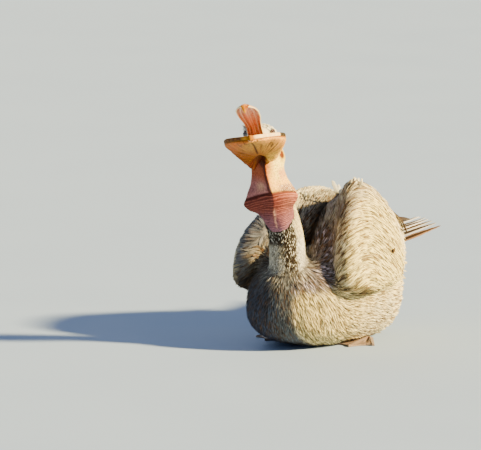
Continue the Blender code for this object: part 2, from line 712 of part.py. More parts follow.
def build():
    clear_scene()
    bird, helpers = collection("pelican"), collection("cutters")
    head_turn = turned(HEAD_YAW, HEAD_PITCH, HEAD_ROLL)
    head_matrix = Matrix.Translation(HEAD_AT) @ head_turn.to_matrix().to_4x4()
    bill_at = head_matrix @ BILL_BASE
    bill_turn = turned(BILL_YAW, BILL_PITCH, BILL_ROLL)
    jaw_at = head_matrix @ HINGE
    jaw_turn = turned(JAW_YAW, JAW_PITCH, JAW_ROLL)

    def room(item, *neighbours):
        make_room(item, [swollen(other, helpers) for other in neighbours])

    eyes = [
        solid(name, eye_shape(side), "eye", bird, HEAD_AT, head_turn)
        for name, side in (("eye_left", 1), ("eye_right", -1))
    ]
    head = solid("head", head_shape(), "plumage", bird, HEAD_AT, head_turn)
    room(head, *eyes)

    nail = solid("bill_nail", nail_shape(), "nail_horn", bird, bill_at, bill_turn)
    bill = solid("bill_upper", bill_shape(), "bill_horn", bird, bill_at, bill_turn)
    room(bill, head, nail)

    rooms = []
    for name, side in (("left", 1), ("right", -1)):
        place = (side * ANKLE.x, ANKLE.y, 0)
        solid(f"foot_{name}", foot_shape(side), "leg_skin", bird, place)
        foot_room = solid(f"foot_{name}_room", foot_room_shape(side), "leg_skin", helpers, place)
        foot_room.hide_render = True
        foot_room.display_type = "WIRE"
        leg = solid(f"leg_{name}", leg_shape(side), "leg_skin", bird)
        make_room(leg, [foot_room])
        rooms += [foot_room, swollen(leg, helpers)]
    trunk = solid("trunk", trunk_shape(), "plumage", bird)
    make_room(trunk, rooms)

    lower_neck = solid("neck_lower", neck_shape(0, NECK_CUT), "plumage", bird)
    upper_neck = solid("neck_upper", neck_shape(NECK_CUT + 0.0012, 1), "plumage", bird)
    room(lower_neck, trunk)
    room(upper_neck, head)

    jaw = solid("bill_lower", jaw_shape(), "bill_horn", bird, jaw_at, jaw_turn)
    room(jaw, head, upper_neck)
    pouch = solid("pouch", pouch_shape(), "pouch_skin", bird, jaw_at, jaw_turn)
    wall = pouch.modifiers.new("wall", "SOLIDIFY")
    wall.thickness = POUCH_WALL
    wall.offset = 1
    room(pouch, jaw, head, upper_neck)
    throat = solid("throat", throat_shape(), "throat_skin", bird)
    room(throat, upper_neck, lower_neck, head, jaw, pouch)

    for name, side, rows in (("left", 1, MANTLE_LEFT), ("right", -1, MANTLE_RIGHT)):
        wing = solid(f"wing_{name}", wing_shape(side), "wing_plumage", bird)
        room(wing, trunk)
        mantle = solid(f"mantle_{name}", mantle_shape(rows, side), "wing_plumage", bird)
        room(mantle, trunk, lower_neck, wing)
        if side < 0:
            room(mantle, bird.objects["mantle_left"])
        primaries = solid(f"primaries_{name}", primaries_shape(side), "flight_feather", bird)
        room(primaries, trunk, mantle, wing)
    tail = solid("tail", tail_shape(), "flight_feather", bird)
    over_tail = [f"{part}_{side}" for part in ("mantle", "wing", "primaries") for side in ("left", "right")]
    room(tail, trunk, *(bird.objects[name] for name in over_tail))


build()
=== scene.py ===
# %% [markdown]
# # A pelican afloat, its bill raised and its pouch spread
#
# The bird is life-size, in metres, and it faces -Y with its left side at +X. The solid model is loaded first:
# it fixes every outline. What follows puts a living surface on it: one skin with a coat of feathers, the bare
# pouch and throat, horn, eyes, tail and feet.

import math

import bmesh
import bpy
import numpy as np
from mathutils import Euler, Matrix, Vector
from mathutils.bvhtree import BVHTree
from mathutils.kdtree import KDTree


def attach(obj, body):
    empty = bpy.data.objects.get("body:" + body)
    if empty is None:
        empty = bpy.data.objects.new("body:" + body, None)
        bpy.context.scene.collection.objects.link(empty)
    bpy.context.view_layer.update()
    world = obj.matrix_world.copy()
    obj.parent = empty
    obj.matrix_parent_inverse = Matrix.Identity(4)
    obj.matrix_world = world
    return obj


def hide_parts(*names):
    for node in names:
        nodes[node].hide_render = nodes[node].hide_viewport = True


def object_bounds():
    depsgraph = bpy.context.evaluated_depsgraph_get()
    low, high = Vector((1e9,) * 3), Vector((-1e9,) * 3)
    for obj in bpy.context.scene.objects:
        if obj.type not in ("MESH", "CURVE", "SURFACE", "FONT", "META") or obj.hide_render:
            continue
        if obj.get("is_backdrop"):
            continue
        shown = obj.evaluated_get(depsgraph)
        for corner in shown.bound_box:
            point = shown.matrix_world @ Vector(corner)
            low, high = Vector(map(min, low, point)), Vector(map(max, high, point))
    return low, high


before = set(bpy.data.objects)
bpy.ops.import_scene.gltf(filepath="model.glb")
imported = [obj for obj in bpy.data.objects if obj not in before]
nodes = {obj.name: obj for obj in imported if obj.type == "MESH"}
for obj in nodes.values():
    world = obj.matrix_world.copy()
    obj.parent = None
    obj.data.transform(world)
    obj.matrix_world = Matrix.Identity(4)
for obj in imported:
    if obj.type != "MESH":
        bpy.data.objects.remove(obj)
solid_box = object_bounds()


def added(name, data):
    """A new object in the scene."""
    made = bpy.data.objects.new(name, data)
    bpy.context.scene.collection.objects.link(made)
    return made


print("solid model:", [round(side, 3) for side in solid_box[1] - solid_box[0]])

# %% [markdown]
# ## The view
#
# The bird is seen from far off, low down and 27 degrees round to its left. A long lens at 16 m keeps its
# proportions as flat as such a distance does. The camera could be placed by hand, but its three directions
# written as numbers also tell the lamps and the plumage which way is right, up and towards the viewer.

# %% Camera
VIEW_ROUND, VIEW_ABOVE, VIEW_FAR = math.radians(27), math.radians(7.5), 16.0
VIEW_WIDTH = 1.058  # metres across the picture, at the bird
AIM_RIGHT, AIM_UP = -0.1958, 0.2466  # the picture's middle, from the bird's origin
SENSOR_WIDTH, FARTHEST = 36, 200  # in millimetres, and in metres

level = math.cos(VIEW_ABOVE)
to_right = Vector((math.cos(VIEW_ROUND), math.sin(VIEW_ROUND), 0))
looking = Vector((-math.sin(VIEW_ROUND) * level, math.cos(VIEW_ROUND) * level, -math.sin(VIEW_ABOVE)))
upward, toward_camera = to_right.cross(looking), -looking
camera = added("camera", bpy.data.cameras.new("camera"))
camera.location = to_right * AIM_RIGHT + upward * AIM_UP - looking * VIEW_FAR
camera.rotation_euler = looking.to_track_quat("-Z", "Y").to_euler()
camera.data.sensor_width = SENSOR_WIDTH
camera.data.lens = SENSOR_WIDTH * VIEW_FAR / VIEW_WIDTH
camera.data.clip_end = FARTHEST
bpy.context.scene.camera = camera
print("lens", round(camera.data.lens), "mm")

# %% [markdown]
# ### Light
#
# Late sun is strong, warm and low, and the sky fills its shadows with a weak blue. A sky picture could give both,
# but three far lamps are easier to steer: the sun from the right, a cool fill from the left, and a faint one from
# behind that draws the outline. The wider a lamp is, the softer its shadows.

# %% Lamps and sky
LAMPS = {  # how far it lies to the right, toward the camera and up; strength, width in degrees, colour
    "key": ((0.9, 0.42, 0.46), 20.0, 5, (1.0, 0.77, 0.37)),
    "fill": ((-0.9, 0.7, 0.6), 0.3, 60, (0.72, 0.82, 1.0)),
    "back": ((-0.3, -0.9, 0.7), 0.6, 40, (0.95, 0.97, 1.0)),
}
SKY_COLOUR, SKY_STRENGTH = (0.60, 0.78, 1.0, 1), 0.28

for name, ((rightward, nearer, higher), strength, width, colour) in LAMPS.items():
    lamp = added(name, bpy.data.lights.new(name, "SUN"))
    lamp.data.energy, lamp.data.angle, lamp.data.color = strength, math.radians(width), colour
    toward = to_right * rightward + toward_camera * nearer + upward * higher
    lamp.rotation_euler = toward.to_track_quat("Z", "Y").to_euler()
world = bpy.data.worlds.new("sky")
bpy.context.scene.world = world
world.use_nodes = True
sky = world.node_tree.nodes["Background"].inputs
sky["Color"].default_value, sky["Strength"].default_value = SKY_COLOUR, SKY_STRENGTH
print(len(LAMPS), "lamps")

# %% [markdown]
# ## Helpers
#
# Most forms here are rows of sizes with a smooth curve run through them, as a boat builder fairs a hull through
# its frames. `track` makes that curve. Shares from 0 to 1 say where things are: `ramp` rises once, `bump_at`
# rises and falls, and `near` falls off round a place. `layered` lays colours by such shares, as a painter glazes.

# %% Smooth curves, shares and colours
def track(rows):
    """A smooth function of position through rows of (position, value, value, ...), with no overshoot."""
    table = np.array(rows, float)
    at, values = table[:, 0], table[:, 1:]
    steps = np.diff(at)[:, None]
    rises = np.diff(values, axis=0) / steps
    slopes = np.zeros_like(values)
    slopes[0], slopes[-1] = rises[0], rises[-1]
    total = rises[:-1] + rises[1:]
    turning = rises[:-1] * rises[1:] <= 0
    slopes[1:-1] = np.where(turning, 0, 2 * rises[:-1] * rises[1:] / np.where(turning, 1, total))

    def value(position):
        position = np.clip(np.asarray(position, float), at[0], at[-1])
        i = np.clip(np.searchsorted(at, position) - 1, 0, len(steps) - 1)
        h = steps[i]
        t = (position - at[i])[..., None] / h
        start, end = (2 * t**3 - 3 * t**2 + 1) * values[i], (3 * t**2 - 2 * t**3) * values[i + 1]
        return start + end + h * ((t**3 - 2 * t**2 + t) * slopes[i] + (t**3 - t**2) * slopes[i + 1])

    return value


def ramp(values, start, end):
    """0 before start, 1 after end, and a smooth rise between them. It falls where end is below start."""
    t = np.clip((np.asarray(values, float) - start) / (end - start), 0, 1)
    return t * t * (3 - 2 * t)


def bump_at(values, centre, width):
    """A smooth bump of height 1 at the centre."""
    return np.exp(-(((np.asarray(values, float) - centre) / width) ** 2))


def near(points, spot, radius, stretch=1):
    """1 at a spot, falling to 0 round it."""
    return np.exp(-((np.linalg.norm((points - np.array(spot)) * stretch, axis=1) / radius) ** 2))


def xyz(x, y, z):
    """Points or directions from their three parts, each a number or an array."""
    return np.stack(np.broadcast_arrays(x, y, z), -1).astype(float)


def unit(vectors):
    return vectors / np.maximum(np.linalg.norm(vectors, axis=-1, keepdims=True), 1e-9)


def dot(first, second):
    return (first * second).sum(axis=-1, keepdims=True)


def tone(red, green, blue):
    """A colour given as a screen shows it, as linear light."""
    return np.array([c / 12.92 if c < 0.04 else ((c + 0.055) / 1.055) ** 2.4 for c in (red, green, blue)])


def mixed(first, second, share):
    """Between two colours, or two arrays of them, by a share for each point."""
    share = np.asarray(share, float)[..., None]
    return first * (1 - share) + second * share


def layered(colour, *layers):
    """Colours laid over one another. Each layer is a colour and its share."""
    for over, share in layers:
        colour = mixed(colour, over, share)
    return colour


def dimmed(colours, share, loss=(1, 1, 1)):
    """Colours that lose up to these shares of their red, green and blue."""
    return colours * (1 - share[:, None] * np.array(loss))


def with_alpha(colours, alpha):
    """Colours with a fourth value."""
    return np.column_stack([colours, np.broadcast_to(alpha, len(colours))])


print("curves ready")

# %% [markdown]
# ### Frames and meshes
#
# The head, bill and jaw each have a frame of their own: `put` takes points out of it and `seen_from` into it.
# Meshes are made of whole arrays at once, since a coat has a million triangles, and each point may carry values
# that its material reads. A form with a round section is a loft: rings of points, joined and closed.

# %% Frames, meshes and pieces
def place(at, yaw, pitch, roll):
    """Where something sits that looks along its own -Y: yaw to the left, pitch up, roll to the right."""
    turn = Euler((math.radians(-pitch), math.radians(-roll), math.radians(yaw)), "XYZ")
    return np.array(Matrix.Translation(at) @ turn.to_matrix().to_4x4())


def put(frame_at, points):
    return points @ frame_at[:3, :3].T + frame_at[:3, 3]


def seen_from(frame_at, points):
    return (points - frame_at[:3, 3]) @ frame_at[:3, :3]


def mesh_of(name, points, triangles, marks=None, bake_uv=None):
    """A mesh from arrays. marks are named values for each point, and bake_uv is a place for each point."""
    mesh = bpy.data.meshes.new(name)
    points = np.ascontiguousarray(points, np.float32)
    triangles = np.ascontiguousarray(triangles, np.int32)
    mesh.vertices.add(len(points))
    mesh.vertices.foreach_set("co", points.ravel())
    mesh.loops.add(triangles.size)
    mesh.loops.foreach_set("vertex_index", triangles.ravel())
    mesh.polygons.add(len(triangles))
    mesh.polygons.foreach_set("loop_start", np.arange(0, triangles.size, 3, dtype=np.int32))
    mesh.update(calc_edges=True)
    for mark, values in (marks or {}).items():
        values = np.ascontiguousarray(values, np.float32)
        kind, field = ("FLOAT_COLOR", "color") if values.shape[1] == 4 else ("FLOAT_VECTOR", "vector")
        mesh.attributes.new(mark, kind, "POINT").data.foreach_set(field, values.ravel())
    if bake_uv is not None:
        corners = np.ascontiguousarray(bake_uv[triangles.ravel()], np.float32)
        mesh.uv_layers.new(name="OFBake").data.foreach_set("uv", corners.ravel())
    mesh.shade_smooth()
    return mesh


def piece(name, mesh, paint, stands_for=()):
    """Shows a mesh as a piece that rides on the bird."""
    made = added(name, mesh)
    mesh.materials.clear()
    mesh.materials.append(paint)
    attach(made, "root")
    if stands_for:
        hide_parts(*stands_for)
    print(name, len(mesh.polygons), "faces")
    return made


print("pieces ready")

# %% Grids and lofts
def round_turn(sides):
    """Angles evenly spaced round one turn."""
    return np.arange(sides) * 2 * np.pi / sides


def rows_and_turns(rows, sides):
    """Two grids for a loft: where each ring is along it, and how far round the ring each point is."""
    return np.meshgrid(rows, round_turn(sides), indexing="ij")


def grid_triangles(rows, columns, closed=False):
    """Triangles over a grid of points, wrapped round across its columns if it is closed."""
    across = columns if closed else columns - 1
    r, c = np.meshgrid(np.arange(rows - 1), np.arange(across), indexing="ij")
    a, b = r * columns + c, r * columns + (c + 1) % columns
    d, e = a + columns, b + columns
    return np.concatenate([np.stack([a, b, e], -1).reshape(-1, 3), np.stack([a, e, d], -1).reshape(-1, 3)])


def closed_loft(rings):
    """Points and triangles of a closed form through rings of points, with a point in the middle of each end."""
    rows, columns = rings.shape[:2]
    points = np.concatenate([rings.reshape(-1, 3), [rings[0].mean(0), rings[-1].mean(0)]])
    c = np.arange(columns)
    n = (c + 1) % columns
    first, last = rows * columns, rows * columns + 1
    back = (rows - 1) * columns
    start = np.stack([np.full(columns, first), n, c], -1)
    end = np.stack([np.full(columns, last), back + c, back + n], -1)
    return points, np.concatenate([grid_triangles(rows, columns, closed=True), start, end])


def there_and_back(over, under):
    """Rings that cross a sheet on one face and come back on the other."""
    return np.concatenate([over, under[:, ::-1]], axis=1)


def with_ends(grid):
    """A grid's values in a row, with those of a loft's two end points added."""
    flat = grid.reshape(-1, *grid.shape[2:])
    return np.concatenate([flat, flat[:1], flat[-1:]])


def joined_arrays(parts):
    """Several (points, triangles) as one."""
    points, triangles, count = [], [], 0
    for some_points, some_triangles in parts:
        points.append(some_points)
        triangles.append(some_triangles + count)
        count += len(some_points)
    return np.concatenate(points), np.concatenate(triangles)


print("lofts ready")

# %% [markdown]
# ### Measuring and easing surfaces
#
# Two forms that touch are welded by filling them with small cells and taking the outer surface of the cells, and
# easing then moves each point towards its neighbours. A `Surface` finds the nearest place to any point, and reads
# there what its own points carry: that is how marks pass from one mesh to another.

# %% Surfaces
def arrays_of(mesh):
    points = np.zeros(len(mesh.vertices) * 3, np.float32)
    mesh.vertices.foreach_get("co", points)
    mesh.calc_loop_triangles()
    triangles = np.zeros(len(mesh.loop_triangles) * 3, np.int32)
    mesh.loop_triangles.foreach_get("vertices", triangles)
    return points.reshape(-1, 3).astype(float), triangles.reshape(-1, 3)


def point_normals(points, triangles):
    corners = points[triangles]
    faces = np.cross(corners[:, 1] - corners[:, 0], corners[:, 2] - corners[:, 0])
    total = np.zeros_like(points)
    for corner in range(3):
        for axis in range(3):
            total[:, axis] += np.bincount(triangles[:, corner], faces[:, axis], len(points))
    return unit(total)


def eased(values, triangles, rounds):
    """Values on a mesh's points, each drawn half way to the mean of its neighbours, round after round."""
    pairs = np.concatenate([triangles[:, [0, 1]], triangles[:, [1, 2]], triangles[:, [2, 0]]])
    count = np.maximum(np.bincount(pairs[:, 0], minlength=len(values)), 1)[:, None]
    values = values.copy()
    for _ in range(rounds):
        columns = range(values.shape[1])
        total = np.stack([np.bincount(pairs[:, 0], values[pairs[:, 1], k], len(values)) for k in columns], -1)
        values += (total / count - values) / 2
    return values


def remeshed(points, triangles, voxel):
    """The outer surface of closed forms, welded as one mesh of cells this big."""
    item = added("rough", mesh_of("rough", points, triangles))
    cells = item.modifiers.new("cells", "REMESH")
    cells.mode, cells.voxel_size = "VOXEL", voxel
    graph = bpy.context.evaluated_depsgraph_get()
    mesh = bpy.data.meshes.new_from_object(item.evaluated_get(graph), depsgraph=graph)
    bpy.data.objects.remove(item)
    return arrays_of(mesh)


class Surface:
    """A mesh that can be asked what lies nearest to a point, and what its points say there."""

    def __init__(self, points, triangles):
        self.points, self.triangles = points, triangles
        self.tree = BVHTree.FromPolygons(points.tolist(), triangles.tolist())

    def nearest(self, wanted):
        """Places on the surface, their triangles, and how far off they are."""
        hits = [self.tree.find_nearest(point) for point in wanted.tolist()]
        spots = np.array([hit[0] for hit in hits])
        return spots, np.array([hit[2] for hit in hits]), np.array([hit[3] for hit in hits])

    def shares(self, spots, which):
        """How much each corner of these triangles counts at these spots: 1 at the corner itself."""
        a, b, c = (self.points[self.triangles[which, k]] for k in range(3))
        ab, ac, ap = b - a, c - a, spots - a
        d00, d01, d11 = dot(ab, ab), dot(ab, ac), dot(ac, ac)
        d20, d21 = dot(ap, ab), dot(ap, ac)
        under = np.maximum(d00 * d11 - d01 * d01, 1e-18)  # a sliver must not divide by nothing
        v, w = (d11 * d20 - d01 * d21) / under, (d00 * d21 - d01 * d20) / under
        return np.clip(np.concatenate([1 - v - w, v, w], -1), 0, 1)

    def read(self, values, spots, which):
        share = self.shares(spots, which)
        return sum(values[self.triangles[which, k]] * share[:, k : k + 1] for k in range(3))


print("helpers ready")

# %% [markdown]
# ## Materials
#
# A material is a small machine of nodes. `Paint` keeps the words short: it holds one material, adds a node with
# its inputs filled in, and ends in the one shader that every finish here uses. Values that are the same all
# over are set on the shader itself.

# %% Paint
class Paint:
    """A material, and short ways to add nodes to it."""

    def __init__(self, name, **values):
        self.material = bpy.data.materials.new(name)
        self.material.use_nodes = True
        self.tree = self.material.node_tree
        self.shader = self.tree.nodes["Principled BSDF"]
        for socket, value in values.items():
            self.shader.inputs[socket.replace("_", " ")].default_value = value

    def add(self, kind, inputs=None, **settings):
        made = self.tree.nodes.new("ShaderNode" + kind)
        for setting, value in settings.items():
            setattr(made, setting, value)
        for socket, value in (inputs or {}).items():
            self.feed(made.inputs[socket], value)
        return made

    def feed(self, socket, value):
        if isinstance(value, bpy.types.NodeSocket):
            self.tree.links.new(value, socket)
        elif isinstance(value, bpy.types.Node):
            self.tree.links.new(value.outputs[0], socket)
        else:
            socket.default_value = value

    def where(self):
        """The place on the object, in metres."""
        return self.add("TexCoord").outputs["Object"]

    def mark(self, name, output="Color"):
        """A value that the mesh's points carry."""
        return self.add("Attribute", attribute_name=name).outputs[output]

    def sums(self, operation, *values):
        made = self.add("Math", operation=operation)
        for socket, value in zip(made.inputs, values):
            self.feed(socket, value)
        return made.outputs[0]

    def times(self, *values):
        return self.sums("MULTIPLY", *values)

    def shaded(self, colour, level):
        """A colour made lighter or darker by a level."""
        grey = self.add("CombineColor", {"Red": level, "Green": level, "Blue": level})
        return self.mix(1.0, colour, grey, "MULTIPLY")

    def cells(self, scale, **settings):
        """How far it is to the middle of the nearest of many small cells, or to its edge."""
        return self.add("TexVoronoi", {"Vector": self.where(), "Scale": scale}, **settings).outputs["Distance"]

    def noise(self, scale, detail=3, vector=None, rough=0.55, stretch=None):
        place_at = vector or self.where()
        if stretch:
            place_at = self.add("Mapping", {"Vector": place_at, "Scale": stretch})
        made = self.add("TexNoise", {"Vector": place_at, "Scale": scale, "Detail": detail, "Roughness": rough})
        return made.outputs["Fac"]

    def between(self, value, low, high, out_low=0.0, out_high=1.0):
        inputs = {"Value": value, "From Min": low, "From Max": high, "To Min": out_low, "To Max": out_high}
        return self.add("MapRange", inputs, interpolation_type="SMOOTHSTEP").outputs[0]

    def mix(self, share, first, second, blend="MIX"):
        made = self.add("Mix", data_type="RGBA", blend_type=blend)
        for slot, value in zip((0, 6, 7), (share, first, second)):  # the factor, then the two colours
            self.feed(made.inputs[slot], value if not isinstance(value, np.ndarray) else (*value, 1))
        return made.outputs[2]

    def relief(self, height, distance, strength=1.0, over=None):
        made = self.add("Bump", {"Height": height, "Distance": distance, "Strength": strength})
        if over:
            self.feed(made.inputs["Normal"], over)
        return made.outputs[0]

    def finish(self, colour, roughness=None, relief=None):
        self.feed(self.shader.inputs["Base Color"], colour)
        if roughness is not None:
            self.feed(self.shader.inputs["Roughness"], roughness)
        if relief is not None:
            self.feed(self.shader.inputs["Normal"], relief)
        return self.material


print("paint ready")

# %% [markdown]
# ### The floor
#
# A plain pale sheet that reaches past every view. It lies a hair lower than the bird, so that the two never
# share a plane, and it is marked as stage and not as a piece.

# %% Floor
FLOOR_REACH, FLOOR_DROP = 160, 0.0005
floor_paint = Paint("pale_floor", Roughness=0.75)
floor_grain = floor_paint.noise(3.0, 4)
pale_floor = floor_paint.finish(
    floor_paint.mix(floor_grain, tone(0.62, 0.71, 0.87), tone(0.64, 0.73, 0.89)),
    floor_paint.between(floor_grain, 0.3, 0.7, 0.7, 0.8),
)
floor_mesh = mesh_of(
    "floor",
    np.array([[-1, -1, 0], [1, -1, 0], [1, 1, 0], [-1, 1, 0]], float) * FLOOR_REACH,
    np.array([[0, 1, 2], [0, 2, 3]]),
)
floor_mesh.materials.append(pale_floor)
floor = added("floor", floor_mesh)
floor.location.z = -FLOOR_DROP
floor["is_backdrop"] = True
print("floor", 2 * FLOOR_REACH, "m across")

# %% [markdown]
# ## Where the head, the bill and the jaw are
#
# The head is turned a little to the bird's left and tipped back. The upper bill points higher than the head, and
# the lower jaw hangs from a hinge under the ear. Each has a frame of its own, so that its form can be written
# as if it lay level. The neck is a row of sections, read by height.

# %% Frames of the head
head_at = place((-0.0085, -0.326, 0.4845), 21.0, 14.0, 3.5)
bill_at = place(put(head_at, xyz(0, -0.044, -0.012)), 23.8, 16.1, 3.0)
jaw_at = place(put(head_at, xyz(0.004, 0.014, -0.026)), 24.6, 9.3, 7.5)
EYE_RADIUS, EYE_OUT = 0.0085, 0.0272  # EYE_OUT is how far each eye's middle lies from the head's
BILL_LENGTH, JAW_REACH = 0.395, 0.428
NECK = [  # share of the neck; centre x, y, z; half width, half depth; the way it faces, in degrees
    (0.00, 0.000, -0.178, 0.060, 0.078, 0.062, 0),
    (0.20, 0.000, -0.196, 0.130, 0.054, 0.053, 0),
    (0.34, 0.000, -0.204, 0.180, 0.0415, 0.045, 3),
    (0.52, 0.000, -0.212, 0.245, 0.0385, 0.042, 5),
    (0.68, -0.003, -0.243, 0.310, 0.0370, 0.040, 10),
    (0.84, -0.007, -0.275, 0.375, 0.0350, 0.038, 19),
    (0.92, -0.010, -0.283, 0.412, 0.0345, 0.038, 21),
    (1.00, -0.013, -0.278, 0.446, 0.0330, 0.035, 22),
]
neck_at_share = track(NECK)
neck_table = neck_at_share(np.linspace(0, 1, 400))
neck_by_height = track([(row[2], *row) for row in neck_table])


def neck_frame(heights):
    """The neck's centre, front and side at these heights, with its half width and half depth."""
    row = neck_by_height(heights)
    along = unit(neck_by_height(heights + 0.004)[..., :3] - neck_by_height(heights - 0.004)[..., :3])
    facing = np.radians(row[..., 5])
    front = xyz(np.sin(facing), -np.cos(facing), 0)
    front = unit(front - along * dot(front, along))
    return row[..., :3], front, np.cross(front, along), row[..., 3], row[..., 4]


print("head", head_at[:3, 3].round(3), "bill", bill_at[:3, 3].round(3), "jaw", jaw_at[:3, 3].round(3))

# %% [markdown]
# ## The pouch and the throat
#
# A pelican's pouch is bare elastic skin, hung between the two thin branches of the lower jaw, and it runs on
# down the front of the neck as the throat. Here the branches are bowed apart, so the pouch is a wide funnel,
# and the throat below it is pulled into a sharp keel and a flared fold with two drooping corners. It could be
# one sculpted sheet, but it is easier to write as two forms, the funnel and the throat. They are welded by
# cells and eased, so that no seam shows. Every point then looks up where it was on the first two forms, and its
# folds, creases and colours are written in those terms.

# %% Forms of the funnel and the throat
JAW_BOW = [  # share of the reach, half width of the bow, and its rise
    (0.00, 0.0310, 0.0000),
    (0.20, 0.0440, 0.0025),
    (0.40, 0.0575, 0.0050),
    (0.58, 0.0632, 0.0060),
    (0.75, 0.0560, 0.0052),
    (0.88, 0.0385, 0.0032),
    (0.96, 0.0180, 0.0012),
    (1.00, 0.0000, 0.0000),
]
POUCH_SAG = [  # share of the reach, and its depth at the middle, left and right
    (0.00, 0.022, 0.032, 0.054),
    (0.12, 0.023, 0.032, 0.047),
    (0.30, 0.024, 0.025, 0.033),
    (0.50, 0.022, 0.015, 0.017),
    (0.72, 0.016, 0.007, 0.008),
    (0.90, 0.008, 0.004, 0.004),
    (1.00, 0.004, 0.002, 0.002),
]
THROAT = [  # height, keel's reach, half width, how far forward the widest line is, and the corners' droop
    (0.282, 0.041, 0.0280, 0.006, 0.000),
    (0.300, 0.047, 0.0345, 0.012, 0.000),
    (0.318, 0.052, 0.0390, 0.018, 0.003),
    (0.335, 0.057, 0.0440, 0.026, 0.008),
    (0.350, 0.062, 0.0540, 0.032, 0.012),
    (0.361, 0.064, 0.0605, 0.032, 0.013),
    (0.371, 0.062, 0.0520, 0.026, 0.009),
    (0.386, 0.060, 0.0405, 0.016, 0.003),
    (0.404, 0.058, 0.0355, 0.010, 0.000),
    (0.425, 0.055, 0.0345, 0.008, 0.000),
    (0.444, 0.048, 0.0325, 0.006, 0.000),
]
RAMUS_HALF_HEIGHT, RAMUS_HALF_THICK = 0.0046, 0.0026
POUCH_FROM, POUCH_TO, POUCH_WALL = 0.03, 0.988, 0.0026
THROAT_TOP, FLARE, THROAT_FOOT = 0.446, 0.361, 0.2845  # FLARE is the height of the flared fold
GULAR_CELL = 0.0014
bow, sag, throat = track(JAW_BOW), track(POUCH_SAG), track(THROAT)


def pouch_points(share, across):
    """The funnel in the jaw's frame: across runs from 1 at the left branch through 0 to -1 at the right one."""
    half_width, rise = np.moveaxis(bow(share), -1, 0)
    middle, left, right = np.moveaxis(sag(share), -1, 0)
    sides = np.where(across > 0, left, right)
    t = 1 - np.abs(across)
    x = half_width * ((1 - t) ** 3 + 3 * (1 - t) ** 2 * t * 0.99 + 3 * (1 - t) * t**2 * 0.56)
    depth = 3 * (1 - t) ** 2 * t * sides * 0.95
    depth += 3 * (1 - t) * t**2 * np.maximum(sides * 1.15, middle) + t**3 * middle
    z = rise - 0.8 * RAMUS_HALF_HEIGHT - depth
    return xyz(np.copysign(x, across), -share * JAW_REACH, z)


def funnel_form(rows=84, columns=72):
    """Points, triangles, and what each point knows of its share and its place across."""
    along_jaw, across_jaw = np.linspace(POUCH_FROM, POUCH_TO, rows), np.linspace(1, -1, columns)
    share, across = np.meshgrid(along_jaw, across_jaw, indexing="ij")
    inner = pouch_points(share, across).reshape(-1, 3)
    sheet = grid_triangles(rows, columns)
    normals = point_normals(inner, sheet)
    normals *= -np.sign(normals[:, 2:3].mean())  # the wall is added below
    outer = inner + normals * POUCH_WALL
    rings = there_and_back(*(face.reshape(rows, columns, 3) for face in (inner, outer)))
    points, triangles = closed_loft(put(jaw_at, rings))
    fields = np.stack([share, across], -1)
    return points, triangles, with_ends(there_and_back(fields, fields))


def throat_form(rows=90, columns=80):
    """Points, triangles, and what each point knows of its height and its turn."""
    heights, turns = rows_and_turns(np.linspace(THROAT_TOP, THROAT_FOOT, rows), columns)
    keel, half_width, forward, droop = np.moveaxis(throat(heights), -1, 0)
    centre, front, side, _, _ = neck_frame(heights)
    c, s = np.cos(turns), np.sin(turns)
    swing = 0.16 * bump_at(heights, 0.372, 0.034) * (s > 0)  # the keel leans to the left in the middle
    flank = bump_at(heights, 0.428, 0.016) * np.maximum(-c, 0) ** 2  # a loose fold bulges on the left
    half_width = half_width + 0.0055 * flank
    fullness = 1.18 + 1.9 * ramp(heights, 0.345, 0.300)  # keeled above the flare, round below it
    ahead = forward + (keel - forward) * (1 - np.abs(c) ** fullness)
    reach = np.where(s > 0, ahead, forward + (forward + 0.012) * s)
    rings = centre + side * (half_width * (c - swing * s))[..., None] + front * reach[..., None]
    rings[..., 2] -= droop * np.abs(c) ** 1.6
    points, triangles = closed_loft(rings)
    return points, triangles, with_ends(np.stack([heights, -np.where(s > -0.2, c, c * 2)], -1))


funnel_points, funnel_triangles, funnel_fields = funnel_form()
throat_points, throat_triangles, throat_fields = throat_form()
both_forms = joined_arrays([(funnel_points, funnel_triangles), (throat_points, throat_triangles)])
gular_points, gular_triangles = remeshed(*both_forms, GULAR_CELL)
gular_points = eased(gular_points, gular_triangles, 3)
print("bare skin", len(gular_points), "points")

# %% [markdown]
# ### Folds of the bare skin
#
# `share` runs along the jaw and `across` from branch to branch, so folds that hang from the jaw are waves along
# `share`. On the throat, `height` and `turn` do the same for the rings of fine wrinkles under the flared fold.

# %% Folds of the bare skin
PLEAT_HEIGHT, CREASE_DEPTH, CAVE_RISE = 0.0010, 0.0013, 0.013
WRINKLE_HEIGHT, KEEL_HEIGHT, FOLD_DEPTH, SHELF_HEIGHT = 0.00045, 0.0014, 0.0030, 0.0012
FAN_SHARE, FAN_REACH = 0.30, 0.060  # where behind the arch the pleats start to spread, and how far out they run
funnel, throat_surface = Surface(funnel_points, funnel_triangles), Surface(throat_points, throat_triangles)
spots, which, funnel_far = funnel.nearest(gular_points)
share, across = funnel.read(funnel_fields, spots, which).T
spots, which, throat_far = throat_surface.nearest(gular_points)
height, turn = throat_surface.read(throat_fields, spots, which).T
on_throat = ramp(funnel_far - throat_far, -0.002, 0.003)
on_throat = eased(on_throat[:, None], gular_triangles, 6)[:, 0]
on_funnel = 1 - on_throat
gular_normals = point_normals(gular_points, gular_triangles)


def waves(values, *rounds):
    """A sum of waves of (waves per unit, height, offset)."""
    return sum(size * np.sin(2 * np.pi * (pace * values + offset)) for pace, size, offset in rounds)


